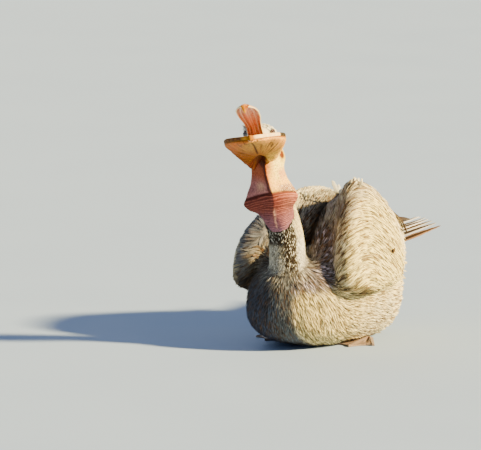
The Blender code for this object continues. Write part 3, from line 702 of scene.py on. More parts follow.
jaw_side = seen_from(jaw_at, gular_points)[:, 0]  # how far to the left of the jaw's middle
fan = np.arctan2(jaw_side, (share - FAN_SHARE) * JAW_REACH) * FAN_REACH
hang = np.sin(np.pi * np.clip(np.abs(across), 0, 1)) ** 0.6 * on_funnel
hanging = waves(fan + 0.006 * share, (95, 0.5, 0.1), (160, 0.35, 0.4), (41, 0.45, 0.2)) * hang
crease_line = 0.105 * share - 0.063
crease = bump_at(across, crease_line, 0.021) * ramp(share, 0.38, 0.5) * on_funnel
arch_edge = 0.385 - np.where(across < 0, -0.42, 0.8) * across  # where the funnel's floor turns up into the cave
cave = ramp(arch_edge - share, 0.0, 0.05) * ramp(across, -0.50, -0.20) * ramp(across, 0.20, 0.06) * on_funnel
wrinkle = waves(height + 0.004 * turn**2, (225, 0.5, 0), (148, 0.3, 0.6))
FOLD_TOP = FLARE + 0.0115 - 0.0045 * np.abs(turn) ** 1.5  # the sharp line above the flared fold
below_flare = ramp(height, FOLD_TOP + 0.0005, FOLD_TOP - 0.0015) * on_throat
folded = bump_at(height, FOLD_TOP + 0.0005, 0.0024)
shelf = bump_at(height, FOLD_TOP + 0.008, 0.0045) * ramp(turn, -0.3, 0.2)
keel_ridge = bump_at(turn, 0, 0.05) * ramp(height, 0.372, 0.377) * ramp(height, 0.444, 0.43)
inside = ramp(dot(unit(gular_normals), xyz(0, -0.25, 1))[:, 0], 0.15, 0.5) * on_funnel
relief = PLEAT_HEIGHT * hanging - CREASE_DEPTH * crease
relief = relief * (1 - 2 * inside)  # both faces of the thin wall move together
relief += on_throat * (
    WRINKLE_HEIGHT * wrinkle * below_flare + KEEL_HEIGHT * keel_ridge - FOLD_DEPTH * folded + SHELF_HEIGHT * shelf
)
gular_points = gular_points + gular_normals * relief[:, None]
gular_points[:, 2] += CAVE_RISE * eased(cave[:, None], gular_triangles, 4)[:, 0]
print("folds", relief.min().round(4), "to", relief.max().round(4), "m")

# %% [markdown]
# ### Colours of the bare skin
#
# Bare skin is ochre where the light falls through it, rust where it is shaded, and brick and plum where blood lies
# close; the glow and the shade are partly painted into these tints. One colour with noise would look like plastic, so
# the tints are laid one over another, each by the share of a place: the funnel's lobes, its cave and edges first,
# then the throat's lit and shaded planes, fold and specks. The cave, the crease, the fold and the dark spots under
# the rim carry painted shade, and a few pale marks are painted highlights.

# %% Blotches and the bare skin's colours
def patchy(points, scale, seed):
    """Soft blotches from 0 to 1 over space, as a sum of turned waves."""
    rng = np.random.default_rng(seed)
    total = np.zeros(len(points))
    for octave in range(3):
        for _ in range(5):
            way = rng.normal(size=3)
            way *= 2**octave / (scale * np.linalg.norm(way))
            total += np.sin(points @ way * 2 * np.pi + rng.uniform(0, 6.3)) / 1.7**octave
    return 1 / (1 + np.exp(-total * 0.9))


blotch = patchy(gular_points, 0.035, 1)
speck = patchy(gular_points, 0.009, 2)

ochre, amber, rust = tone(0.70, 0.48, 0.19), tone(0.84, 0.59, 0.22), tone(0.74, 0.37, 0.10)
peach, cream, mauve = tone(0.97, 0.75, 0.30), tone(0.98, 0.88, 0.44), tone(0.62, 0.40, 0.40)
brick, coral, plum = tone(0.47, 0.23, 0.20), tone(0.76, 0.46, 0.38), tone(0.52, 0.35, 0.41)
umber = tone(0.24, 0.07, 0.03)
print("blotches", blotch.min().round(2), "to", blotch.max().round(2))

# %% Colours of the funnel
blush = ramp(share, 0.46, 0.26) * ramp(across, 0.02, 0.30)  # the right lobe pales into the throat
toward_cave = ramp(share, 0.80, 0.35) * ramp(across, 0.30, 0.0)
olive = bump_at(across, crease_line, 0.24) * ramp(share, 0.70, 0.92)
arch_lip = ramp(arch_edge - share, -0.05, 0.03) * ramp(across, 0.1, -0.1)
corner = bump_at(across, 0.90, 0.045) * ramp(share, 0.925, 0.955)  # painted shadow under the rim's right end
funnel_colour = layered(
    ochre,
    (amber, ramp(across, -0.15, 0.65) * 0.75 + 0.25 * blotch),
    # rust on the shaded half, partly the pouch's own colour and partly painted shade, and painted shade in the
    # pleats' troughs
    (rust, 0.80 * ramp(across, -0.05, -0.65) + 0.2 * ramp(hanging, 0.1, -0.8)),
    (peach, 0.85 * blush),
    (tone(0.52, 0.25, 0.06), 0.75 * toward_cave),
    (tone(0.74, 0.55, 0.24), 0.7 * olive),
    # painted shade: a dark line in the middle crease
    (tone(0.22, 0.08, 0.01), np.clip(1.2 * crease, 0, 0.94)),
    # painted shade: dark red-brown from the arch's lip into the cave
    (tone(0.42, 0.13, 0.02), 0.85 * arch_lip),
    (tone(0.97, 0.66, 0.27), 0.80 * ramp(across, 0.15, 0.50) * ramp(share, 0.36, 0.50)),
    # painted shade: umber deep in the cave over the keel
    (umber, 0.95 * cave * ramp(across, -0.42, -0.15)),
    (tone(0.70, 0.36, 0.0), 0.9 * bump_at(across, -0.90, 0.045)),  # the bright edge line
    # painted shade: the right branch's shaded outer face runs on over the funnel's edge
    (tone(0.26, 0.13, 0.12), 0.95 * ramp(across, -0.945, -0.965)),
    (tone(0.40, 0.22, 0.04), 0.8 * bump_at(across, 0.955, 0.022) * ramp(share, 0.5, 0.6)),
    (tone(0.93, 0.74, 0.34), 0.7 * bump_at(across, 0.88, 0.035)),
    # painted shadow under the rim's right end
    (tone(0.07, 0.05, 0.04), np.clip(1.2 * corner, 0, 0.95)),
    (tone(0.90, 0.55, 0.32), 0.4 * inside),
)
print("funnel coloured at", len(funnel_colour), "points")

# %% Colours of the throat
left_plane = ramp(turn, -0.02, 0.04)
lit_plane = layered(
    peach,
    (cream, ramp(turn, 0.10, 0.6)),
    # painted shade: dark brown at the top of the lit plane, under the funnel
    (tone(0.44, 0.20, 0.05), 0.75 * ramp(height, 0.390, 0.412) * ramp(turn, 0.60, 0.10)),
    (tone(0.66, 0.34, 0.03), 0.80 * ramp(turn, 0.15, 0.03)),  # the keel's lit edge
    (tone(0.78, 0.50, 0.38), 0.75 * (ramp(turn, 0.50, 0.72) * ramp(height, 0.412, 0.398))),
    (tone(0.99, 0.78, 0.36), ramp(height, 0.398, 0.378)),
)
cheek_spot = near(gular_points, (0.0210, -0.281, 0.4365), 0.0068, (1, 1, 0.60))
speckled = ramp(height, FOLD_TOP + 0.0125, FOLD_TOP + 0.008) * ramp(turn, 0.25, 0.5)
fine_specks = ramp(patchy(gular_points, 0.0034, 15), 0.62, 0.82)
brown_specks = ramp(patchy(gular_points, 0.006, 14), 0.80, 0.92) * bump_at(turn, 0.58, 0.16) * left_plane
# the shaded plane is mauve, partly its own colour and partly painted shade; the lit plane lies over it
upper_throat = layered(
    mauve,
    (lit_plane, left_plane),
    (tone(0.58, 0.26, 0.09), 0.9 * ramp(height, 0.380, 0.405) * (1 - left_plane)),
    # painted highlight: a cream patch low on the shaded plane
    (tone(0.85, 0.66, 0.50), 0.5 * bump_at(height, 0.383, 0.007) * bump_at(turn, -0.5, 0.2)),
    # painted shadow: umber just beside the keel on its shaded side
    (umber, 0.92 * bump_at(turn, -0.11, 0.09) * (1 - left_plane)),
    # painted shade: umber at the top of the throat, under the funnel
    (umber, 0.85 * ramp(height, 0.408, 0.420) * bump_at(turn, -0.25, 0.35)),
    (coral, 0.35 * left_plane * ramp(speck, 0.7, 0.95)),
    (tone(0.36, 0.10, 0.0), np.clip(2.2 * cheek_spot, 0, 0.97)),
    (mixed(tone(0.50, 0.30, 0.21), tone(1.0, 0.90, 0.76), fine_specks), 0.9 * speckled),
    (tone(0.42, 0.17, 0.08), 0.7 * brown_specks * ramp(height, 0.425, 0.41)),
)
line_at = 0.075 + 0.05 * (blotch - 0.5)
pale_line = bump_at(turn, line_at, 0.055) * ramp(height, 0.292, 0.30) * ramp(height, 0.352, 0.33)
lower_throat = layered(
    brick,
    (coral, 0.9 * ramp(turn, 0.05, 0.85)),
    (plum, ramp(height, 0.350, 0.312) * 0.85),
    (tone(0.60, 0.44, 0.52), 0.7 * ramp(height, 0.303, 0.289)),
    (umber, 0.8 * ramp(turn, -0.93, -0.99) * bump_at(height, 0.352, 0.012)),
    # painted highlight: a pale line down the front of the flare
    (tone(0.90, 0.66, 0.55), np.clip(pale_line * (0.35 + speck), 0, 0.9)),
)
# painted shade: a dark line along the fold, darkest on the shaded side
fold_line = bump_at(height, FOLD_TOP - 0.0005, 0.0016)
fold_colour = mixed(umber, tone(0.30, 0.16, 0.08), ramp(turn, 0.0, 0.5))
throat_colour = layered(upper_throat, (lower_throat, below_flare), (fold_colour, 0.92 * fold_line))
# painted shade: umber under the arch
under_arch = near(gular_points, (-0.001, -0.338, 0.4225), 0.010)
gular_tint = layered(funnel_colour, (throat_colour, on_throat), (umber, np.clip(1.3 * under_arch, 0, 0.92)))
gular_tint = gular_tint * (0.88 + 0.24 * speck)[:, None]
print("bare skin coloured at", len(gular_tint), "points")

# %% [markdown]
# ### The bare skin itself
#
# Pleats run down the funnel and rings go round the throat, far finer than the mesh. Carving them would take millions
# of triangles, so the material draws them as noise that is stretched along the pleats and as waves across the throat,
# each only where its mark says, with painted shade in their troughs and painted highlight on their ridges. Light
# passes a little way into the skin and turns red there.

# %% Bare skin
PLEAT_PACE, PLEAT_RUN = 520, 5  # noise across the pleats and along them
RING_NOISE, RING_PACE = 160, 2 * np.pi / 0.0042  # one wrinkle in each 4.2 mm
skin_paint = Paint(
    "bare_skin", Subsurface_Weight=0.06, Subsurface_Scale=0.004, Coat_Weight=0.01, Specular_IOR_Level=0.06
)
skin_paint.shader.inputs["Subsurface Radius"].default_value = (1.0, 0.42, 0.16)
skin_paint.shader.inputs["Coat Roughness"].default_value = 0.25
between, times = skin_paint.between, skin_paint.times
fine = skin_paint.noise(900, 4, rough=0.7)
pores = skin_paint.cells(650.0)
vein = skin_paint.noise(60, 5, rough=0.65, stretch=(1, 1, 0.35))
skin_colour = skin_paint.mix(between(vein, 0.54, 0.64, 0.0, 0.25), skin_paint.mark("tint"), (0.30, 0.07, 0.03, 1))
lengthwise = skin_paint.noise(1.0, 3, skin_paint.mark("pleats", "Vector"), rough=0.6)
marks = skin_paint.add("SeparateXYZ", {"Vector": skin_paint.mark("pleat_share", "Vector")}).outputs
has_pleats, has_rings, along_throat = marks
uneven = skin_paint.noise(1.0, 2, skin_paint.mark("rings", "Vector"), rough=0.5)
ringed = between(skin_paint.sums("SINE", skin_paint.sums("ADD", along_throat, times(uneven, 9.0))), -1, 1)
for drawn, low, high, where, strength, colour in (
    (lengthwise, 0.50, 0.36, has_pleats, 0.95, (0.10, 0.030, 0.003, 1)),  # painted shade in the troughs between the pleats
    (lengthwise, 0.56, 0.70, has_pleats, 0.35, (0.66, 0.34, 0.04, 1)),  # painted highlight on the pleats' ridges
    (ringed, 0.55, 0.1, has_rings, 0.50, (0.05, 0.010, 0.008, 1)),  # painted shade in the rings' troughs
    (ringed, 0.70, 1.0, has_rings, 0.22, (0.46, 0.14, 0.10, 1)),  # painted highlight on the rings' ridges
):
    skin_colour = skin_paint.mix(times(times(between(drawn, low, high), where), strength), skin_colour, colour)
mottled = skin_paint.noise(330, 3, rough=0.65)
for grains, low, high in ((fine, 0.86, 1.14), (mottled, 0.74, 1.22)):
    skin_colour = skin_paint.shaded(skin_colour, between(grains, 0.35, 0.65, low, high))
folds = skin_paint.sums("ADD", times(lengthwise, has_pleats), times(times(ringed, 0.45), has_rings))
skin_relief = skin_paint.relief(fine, 0.0005, 0.5, skin_paint.relief(pores, 0.0004, 0.4))
bare_skin = skin_paint.finish(
    skin_colour, between(fine, 0.3, 0.7, 0.50, 0.72), skin_paint.relief(folds, 0.0022, 0.9, skin_relief)
)
ring_line = height + 0.004 * turn**2  # the rings sag a little in the middle
gular_mesh = mesh_of(
    "pouch_and_throat",
    gular_points,
    gular_triangles,
    {
        "tint": with_alpha(gular_tint, 1),
        "pleats": xyz(fan * PLEAT_PACE, share * PLEAT_RUN, 0),
        "rings": xyz(ring_line * RING_NOISE, turn * 1.8, 0),
        "pleat_share": xyz(hang * (1 - 0.6 * cave), below_flare * (1 - 0.6 * pale_line), ring_line * RING_PACE),
    },
)
piece("pouch_and_throat", gular_mesh, bare_skin, ("pouch", "throat"))
print("pouch and throat", len(gular_points), "points")

# %% [markdown]
# ## The skin under the feathers
#
# Trunk, neck, head, shoulders and wings are parted in the solid model, but a live bird has one skin. Swelling
# each solid until they touch, and welding them by cells, gives one closed form; easing it rounds the joins.
# It then shrinks by the depth of the coat, so that the feathers end where the solids do.

# %% One skin
FLESH = ("trunk", "neck_lower", "neck_upper", "head", "mantle_left", "mantle_right", "wing_left", "wing_right")
SWELL, SKIN_CELL = 0.0012, 0.0034


def welded(name):
    """A node's points and triangles, with its doubled points made one."""
    shape = bmesh.new()
    shape.from_mesh(nodes[name].data)
    bmesh.ops.remove_doubles(shape, verts=shape.verts, dist=1e-5)
    bmesh.ops.triangulate(shape, faces=shape.faces)
    points = np.array([vertex.co for vertex in shape.verts])
    triangles = np.array([[vertex.index for vertex in face.verts] for face in shape.faces])
    shape.free()
    return points, triangles


flesh = {name: welded(name) for name in FLESH}
swollen = [(points + point_normals(points, triangles) * SWELL, triangles) for points, triangles in flesh.values()]
skin_points, skin_triangles = remeshed(*joined_arrays(swollen), SKIN_CELL)
skin_points = eased(skin_points, skin_triangles, 7)
print("skin", len(skin_points), "points")

# %% [markdown]
# ### Parts of the skin
#
# A neck's feathers are short and a wing's are long, but the skin has no seams. Each point therefore holds a share
# of every part near it, and what differs from part to part, such as the coat's depth, is blended by these shares.

# %% What part of the bird each point belongs to
PART_BLEND = 0.010  # how far one part's plumage runs into the next, in metres
LEAST_HEIGHT = 0.0012  # the skin never sinks into the floor
far_from = np.stack([Surface(*flesh[name]).nearest(skin_points)[2] for name in FLESH], -1)
belongs = np.exp(-(far_from - far_from.min(axis=1, keepdims=True)) / PART_BLEND)
belongs /= belongs.sum(axis=1, keepdims=True)
belongs = eased(belongs, skin_triangles, 4)
part = {name: belongs[:, i] for i, name in enumerate(FLESH)}
COAT_DEPTH = {"trunk": 0.0050, "neck_lower": 0.0034, "neck_upper": 0.0030, "head": 0.0022}
depth = SWELL + sum(COAT_DEPTH.get(name, 0.0046) * part[name] for name in FLESH)
skin_normals = point_normals(skin_points, skin_triangles)
skin_points = skin_points - skin_normals * depth[:, None]
skin_points[:, 2] = np.maximum(skin_points[:, 2], LEAST_HEIGHT)
skin_normals = unit(eased(point_normals(skin_points, skin_triangles), skin_triangles, 3))
print("coat depth", depth.min().round(4), "to", depth.max().round(4), "m")

# %% [markdown]
# ### The lie of the feathers
#
# Feathers point away from the bill and never against the wind: back over the head, down the neck, and back
# along the trunk. On the raised wings they rise over the rolled leading edge, turn outward and sweep down and
# back in one long arch, and on the shoulders they run up and back over the hump. Over the chest they spread as
# a fan. Each part has one leading direction, and the blend of parts turns one into the next.

# %% Directions over the skin
x, y, z = skin_points.T
head_place = seen_from(head_at, skin_points)


def everywhere(vector):
    return np.broadcast_to(np.asarray(vector, float), skin_points.shape)


outward = np.where(x > 0, 1.0, -1.0)
chest = ramp(y, -0.12, -0.20)
trunk_way = xyz(7.0 * x * chest, 1 - 0.8 * chest, -chest - 0.1)
trunk_way[:, 2] += 0.45 * ramp(y, 0.18, 0.30) * ramp(0.2 - z, 0.0, 0.08)
wing_low = ramp(z, 0.20, 0.13)
WING_FRONT = track(  # by height, how far back the wing's leading edge lies
    [(0.10, -0.185), (0.185, -0.19), (0.222, -0.18), (0.264, -0.16), (0.31, -0.125), (0.344, -0.085), (0.361, -0.05)]
)
leading = ramp(y - WING_FRONT(z)[:, 0], 0.075, 0.0)  # 1 on the rolled leading edge, 0 further back
rising = np.where(x > 0, 1.75, 0.45) * leading  # the left wing rolls over more than the right one
wing_way = xyz(outward * (0.30 + 0.8 * leading), 1 - 0.5 * leading, rising - 0.80)
wing_way[:, 2] += 0.45 * wing_low * (1 - leading)
shoulder_way = everywhere((0, 1, 0.35)) + xyz(0.15 * outward, 0, 0)
inner_wing = ramp(-outward * skin_normals[:, 0], 0.0, 0.5) * ramp(z, 0.24, 0.30)
wing_way = mixed(wing_way, mixed(shoulder_way, wing_way, 0.4 * ramp(x, 0, -0.01)), inner_wing * (1 - wing_low))
way_of = {
    "trunk": trunk_way,
    "neck_lower": everywhere((0, 0.05, -1)),
    "neck_upper": everywhere((0, -0.15, -1)),
    "head": everywhere(head_at[:3, 1] + xyz(0, 0, -0.25)),
    "mantle_left": shoulder_way,
    "mantle_right": shoulder_way,
    "wing_left": wing_way,
    "wing_right": wing_way,
}
LEAD = {"wing_left": 2.5, "wing_right": 2.5}  # a wing's feathers keep their line over the shoulder's edge


def along_skin(ways):
    return unit(ways - skin_normals * dot(ways, skin_normals))


way = sum(part[name][:, None] * unit(way_of[name]) * LEAD.get(name, 1) for name in FLESH)
for _ in range(3):
    way = eased(along_skin(way), skin_triangles, 9)
way = along_skin(way)
print("directions set at", len(way), "points")

# %% [markdown]
# ### Colours of the plumage
#
# The coat is a pale, slightly buff grey. Every feather has a dark shaft, so the bird looks streaked. The face and
# crown are nearly white, the front of the neck is blotched with blackish brown under the throat, partly as painted
# shade under the pouch, and the shoulders and the shaded flank are cooler. Light and shade are painted in as well:
# sunlit faces are golden and the neck's lit edge is white, the shoulders, the inner faces and the far wing are greyer
# and darker where they lie in shade, and joins, the cleft and the underside of the wing carry painted shade. The skin
# takes the same colours, a little darker as painted shade, so that a gap between feathers never shows as a hole.

# %% Plumage colours
PALE, BUFF, ASH = tone(0.99, 0.96, 0.84), tone(0.95, 0.86, 0.64), tone(0.60, 0.59, 0.59)
LILAC, BARK, WHITE = tone(0.50, 0.47, 0.53), tone(0.10, 0.07, 0.055), tone(0.99, 0.97, 0.92)
FACE = tone(0.94, 0.87, 0.76)
TOWARD_SUN = xyz(0.88, 0.08, 0.47)

view_right = np.array(to_right)


def plumage(points, shares, normals):
    """Colour, and how dark the shaft streak is, at points whose shares of the parts are known."""
    trunk, neck_lower, neck_upper, head, mantle_left, mantle_right, wing_left, wing_right = shares.T
    neck, shoulders = neck_lower + neck_upper, mantle_left + mantle_right
    px, py, pz = points.T
    patch, fleck, dots = patchy(points, 0.05, 5), patchy(points, 0.011, 6), patchy(points, 0.0045, 7)

    # wings and shoulders
    inner = wing_left * ramp(normals[:, 0], 0.05, -0.25) * ramp(py, 0.03, -0.03)
    inner = inner * (0.35 + 0.65 * ramp(pz, 0.25, 0.29))
    # greyer on the shoulders and the wing's inner face: partly their own colour, partly painted shade
    dull_and_shaded = np.clip(shoulders * (0.55 + 0.45 * ramp(py, 0.02, -0.06)) + inner, 0, 1)
    dull_and_shaded = dull_and_shaded * (1 - 0.7 * near(points, (0.103, -0.100, 0.325), 0.032))  # the wing's front edge catches the light
    # painted light: the far hump's top is paler
    crown = (mantle_right + wing_right) * ramp(pz, 0.285, 0.312)
    tint = layered(
        PALE,
        (BUFF, 0.30 + 0.5 * patch),
        (mixed(ASH, LILAC, ramp(fleck, 0.2, 0.8)), 0.80 * dull_and_shaded),
        (PALE, 0.4 * crown),
    )
    tint = layered(
        dimmed(tint, 0.26 * mantle_right * ramp(pz, 0.27, 0.30)),
        (tone(1.0, 0.93, 0.62), 0.8 * wing_left * ramp(px, 0.095, 0.130)),  # painted sunlight: the near wing's outer face, where the sun falls, is golden
        # painted shade: the far wing is greyer below its top
        (mixed(ASH, BUFF, 0.35), 0.62 * wing_right * ramp(pz, 0.315, 0.27)),
        # painted shade: the breast's far side is greyer
        (ASH, 0.75 * trunk * ramp(px, 0.01, -0.03) * ramp(py, 0.0, -0.12)),
    )
    in_shade = (trunk + neck_lower) * ramp(px, 0.043, 0.030) * ramp(py, -0.10, -0.20) * ramp(pz, 0.21, 0.18)
    front_right = wing_right * ramp(py, -0.06, -0.13)
    tint = dimmed(tint, in_shade, (0.85, 0.80, 0.64))
    # painted shadow: where the sun falls on the far wing's front, it is darkened and cooled as if the neck and head
    # shaded it
    tint = dimmed(tint, front_right * ramp(normals @ TOWARD_SUN, -0.1, 0.35), (0.84, 0.79, 0.58))
    # painted shade: the far wing's front is darker low down
    tint = dimmed(tint, 0.45 * front_right * ramp(pz, 0.20, 0.16))

    # breast, and the mottled front of the neck
    # painted sunlight: the breast's lit side is golden
    golden_sunlit = trunk * ramp(px, 0.038, 0.048) * ramp(py, -0.02, -0.20) * ramp(pz, 0.155, 0.130)
    # painted shade: dark lilac in the hollow between the neck and the near wing, with pale lilac flecks
    hollow = ramp(pz, 0.132, 0.150) * ramp(px, 0.026, 0.034) * ramp(py, -0.11, -0.135) * ramp(px, 0.098, 0.086)
    hollow = hollow * (trunk + mantle_left + 0.6 * wing_left + neck_lower * ramp(px, 0.040, 0.048))
    centre, _, _, half, _ = neck_frame(pz)
    aside = ((points - centre) @ view_right) / half  # from -1 at the shaded edge to 1 at the lit one
    ahead = ramp((points - centre)[:, 1], 0.012, -0.010)
    # blackish-brown blotches under the throat and down the middle: partly own colour, partly painted shade under the
    # pouch
    under_throat = ramp(pz, 0.228, 0.252) * ramp(aside, 0.66, 0.50)
    down_middle = ramp(pz, 0.130, 0.205) * ramp(aside, -0.50, 0.02) * ramp(aside, 0.52, 0.38)
    dark_edge = 0.85 * ramp(pz, 0.12, 0.15) * bump_at(aside, 0.40, 0.11)  # painted shadow edge: a thin dark line runs on down to the breast
    mottle = ahead * np.maximum(np.maximum(under_throat, down_middle), dark_edge)
    mottle = neck * mottle * (0.72 + 0.5 * ramp(fleck, 0.2, 0.6)) * (1 - 0.75 * ramp(dots, 0.76, 0.90))
    # painted glints: white flecks on the wet front of the neck, also lightening the blotches
    glint_flecks = neck * ahead * ramp(dots, 0.80, 0.92) * ramp(aside, 0.75, 0.5)
    # painted sunlight: the neck's lit edge is white, and its streaks fade there
    edge = ramp(aside, 0.48, 0.60) * ramp(pz, 0.115, 0.13) * ramp(pz, 0.262, 0.245)
    at_edge = neck + trunk * ramp(px, 0.044, 0.036) * ramp(px, 0.022, 0.03) * ramp(py, -0.2, -0.22)

    # painted shade where two parts meet, in the cleft, on the shoulder's inner face and under the wing, and a small
    # dark spot on the flank
    seam_shade = 4 * (mantle_left + neck_lower) * mantle_right
    seam_shade = seam_shade + 5 * neck_lower * mantle_left + 3 * trunk * mantle_right
    seam_shade = seam_shade + 4.5 * trunk * wing_right * ramp(py, -0.10, -0.14)
    groove = bump_at(px, 0.004, 0.017) * ramp(py, 0.07, 0.04) * ramp(pz, 0.19, 0.20) * shoulders
    inner_face = mantle_left * ramp(normals[:, 0], -0.30, -0.60) * ramp(py, 0.03, -0.02)
    below_wing = wing_left * ramp(normals[:, 2], -0.45, -0.70) * ramp(py, -0.09, -0.13)
    gap = near(points, (0.163, -0.077, 0.145), 0.0085)

    # dark feathers of the head: brow, cheek, temple, and a line round the eye
    brow = near(points, put(head_at, xyz(0.018, -0.030, 0.012)), 0.006)
    cheek = near(points, put(head_at, xyz(0.0285, 0.001, -0.011)), 0.006)
    temple = near(points, (-0.001, -0.295, 0.498), 0.0045) + 1.3 * near(points, (0.013, -0.309, 0.490), 0.0060)
    _, forward, high = seen_from(head_at, points).T
    eyeline = bump_at(np.hypot(forward, high), 0.0155, 0.0022) * ramp(forward, 0.008, -0.002)
    marks = head * np.clip(brow * 0.8 + cheek + temple + 0.9 * eyeline + 0.55 * ramp(fleck, 0.80, 0.95), 0, 1)

    tint = layered(
        tint,
        (tone(1.0, 0.91, 0.58), 0.6 * golden_sunlit),
        (mixed(LILAC * 0.55, LILAC * 2.8, ramp(dots, 0.58, 0.86)), 0.92 * np.clip(hollow, 0, 1)),
        # grey on the neck away from its lit edge: partly own colour, partly painted shade
        (mixed(ASH, PALE, 0.15 + 0.6 * fleck), 0.85 * neck * ramp(aside, 0.80, 0.35)),
        (mixed(BARK * 0.8, BARK * 1.5, ramp(patch, 0.3, 0.8)), np.clip(1.45 * mottle, 0, 0.97)),
        (WHITE, 0.85 * glint_flecks),
        # painted sunlight on the neck's lit edge
        (WHITE, 0.92 * at_edge * edge),
        (BARK, np.clip(0.9 * seam_shade + groove + 0.8 * inner_face * ramp(fleck, 0.95, 0.5), 0, 0.93)),
        (BARK * 0.7, 0.92 * below_wing),
        (BARK * 0.6, np.clip(1.7 * gap, 0, 0.97)),
        (WHITE, 0.90 * head),
        (BARK, 0.9 * marks),
    )
    streak = 0.50 + 0.45 * fleck
    streak = streak + 0.25 * shoulders + 0.15 * wing_left - 0.15 * neck - 0.5 * neck * ramp(aside, 0.6, 0.8)
    streak = streak - 0.30 * head - 0.25 * front_right + 0.25 * mantle_right
    return tint, np.clip(streak, 0, 1)


skin_tint, _ = plumage(skin_points, belongs, skin_normals)
print("plumage", skin_tint.min(0).round(2), "to", skin_tint.max(0).round(2))

# %% The bare face
_, before, over = head_place.T
socket = np.hypot(before, over * 1.15)  # how far it is from the eye's middle
forehead = np.maximum(ramp(before, -0.030, -0.040), ramp(before, -0.015, -0.023) * ramp(over, 0.017, 0.009))
lores = 0.7 * ramp(before, -0.012, -0.020) * bump_at(over, -0.012, 0.009)  # thin feathers before the eye
face = np.maximum(np.maximum(forehead, ramp(socket, 0.0145, 0.0115)), lores)
face = np.clip(face * part["head"], 0, 1)
# painted shade: the skin under the coat is the plumage's colour, darker
skin_show = layered(
    skin_tint * 0.55,
    (np.broadcast_to(FACE, skin_points.shape), face),
    (tone(0.15, 0.08, 0.06), 0.95 * ramp(socket, 0.0130, 0.0105) * part["head"]),  # dark round the eye
)
print("bare face", int((face > 0.5).sum()), "points")

# %% [markdown]
# ### The unwrap
#
# Each feather is given a small patch of one picture, at the place of its root on the skin's own unwrap, where its
# colour can be baked. The skin is flattened in islands, the way a hide is cut to lie flat.

# %% Unwrap of the skin
hide_paint = Paint("hide", Roughness=0.7, Subsurface_Weight=0.05, Subsurface_Scale=0.004)
down = hide_paint.noise(420, 4, rough=0.7)
wrinkles = hide_paint.noise(260, 5, rough=0.7, stretch=(1, 1, 0.4))
hide_finish = hide_paint.finish(
    hide_paint.mix(hide_paint.between(down, 0.3, 0.7, 0, 0.35), hide_paint.mark("tint"), (0.25, 0.20, 0.16, 1)),
    hide_paint.between(wrinkles, 0.3, 0.7, 0.5, 0.8),
    hide_paint.relief(wrinkles, 0.0006, 0.7),
)
skin_mesh = mesh_of("skin", skin_points, skin_triangles, {"tint": with_alpha(skin_show, face)})
skin_mesh.uv_layers.new(name="OFBake")
skin_piece = piece("skin", skin_mesh, hide_finish, FLESH)
bpy.ops.object.select_all(action="DESELECT")
bpy.context.view_layer.objects.active = skin_piece
skin_piece.select_set(True)
bpy.ops.object.mode_set(mode="EDIT")
bpy.ops.mesh.select_all(action="SELECT")
bpy.ops.uv.smart_project(angle_limit=math.radians(66), island_margin=0.002)
bpy.ops.object.mode_set(mode="OBJECT")
corner_uv = np.zeros(len(skin_triangles) * 6, np.float32)
skin_mesh.uv_layers["OFBake"].data.foreach_get("uv", corner_uv)
corner_uv = corner_uv.reshape(-1, 3, 2)
skin = Surface(skin_points, skin_triangles)
print("unwrapped", len(skin_triangles), "triangles")

# %% [markdown]
# ### A feather
#
# A contour feather is a thin curved blade on a shaft: narrow at the root, widest past its middle, pointed at
# the tip, and arched from edge to edge. One blade needs only three points across and a few along to show that.
# Each is laid on the skin by walking from its root along the lie, step by step, so it bends with the body.
# Its tip stands above the skin, and so covers the roots of the next ones, as tiles do.

# %% Growing feathers
def scatter(chosen, spacing, seed):
    """Roots strewn evenly over the chosen triangles: one in each cell of this size that the skin passes."""
    rng = np.random.default_rng(seed)
    corners = skin_points[skin_triangles[chosen]]
    area = np.linalg.norm(np.cross(corners[:, 1] - corners[:, 0], corners[:, 2] - corners[:, 0]), axis=1) / 2
    count = int(area.sum() / spacing**2 * 4)
    which = rng.choice(len(chosen), count, p=area / area.sum())
    a, b = rng.random((2, count))
    a, b = np.where(a + b > 1, 1 - a, a), np.where(a + b > 1, 1 - b, b)
    share = np.stack([1 - a - b, a, b], -1)
    spots = (corners[which] * share[:, :, None]).sum(axis=1)
    cells = np.floor(spots / spacing).astype(int)
    keep = rng.permutation(np.unique(cells, axis=0, return_index=True)[1])
    return spots[keep], chosen[which[keep]], share[keep]


def strew(chosen, apart, behind, seed):
    """Roots of long feathers, in loose rows: no other root within this far aside and this far along the lie."""
    rng = np.random.default_rng(seed)
    spots, which, share = scatter(chosen, apart * 0.55, seed)
    along = unit(skin.read(way, spots, which))
    tree = KDTree(len(spots))
    for i, spot in enumerate(spots.tolist()):
        tree.insert(spot, i)
    tree.balance()
    free = np.ones(len(spots), bool)
    kept = []
    for i in rng.permutation(len(spots)):
        if not free[i]:
            continue
        kept.append(i)
        close = np.array([found[1] for found in tree.find_range(spots[i], behind)])
        offset = spots[close] - spots[i]
        ahead = offset @ along[i]
        aside = np.linalg.norm(offset - ahead[:, None] * along[i], axis=1)
        free[close[(ahead / behind) ** 2 + (aside / apart) ** 2 < 1]] = False
    return spots[kept], which[kept], share[kept]


print("ready to sow")

# %% One coat of feathers
OUTLINE = track([(0, 0.35), (0.2, 0.75), (0.5, 1.0), (0.75, 0.85), (0.92, 0.45), (1, 0.0)])
ROOT_HEIGHT = 0.0006  # how far over the skin a blade starts
BAKE_HALF_WIDTH, BAKE_LENGTH = 0.0015, 0.003  # each feather's patch of the picture


def walk(spots, normal, along, step, stations, stiff):
    """Lines that step over the skin from these roots: their points, and which way is up and ahead at each."""
    spine, normals, ways = [spots], [normal], [along]
    for _ in range(stations):
        ahead = spine[-1] + ways[-1] * step[:, None]
        landed, triangle, _ = skin.nearest(ahead)
        landed = landed * (1 - stiff) + ahead * stiff
        up = unit(normals[-1] * 0.5 + skin.read(skin_normals, landed, triangle))
        turn_to = unit(ways[-1] * 0.6 + skin.read(way, landed, triangle) * 0.4)
        spine.append(landed)
        normals.append(up)
        ways.append(unit(turn_to - up * dot(turn_to, up)))
    return (np.stack(values, 1) for values in (spine, normals, ways))


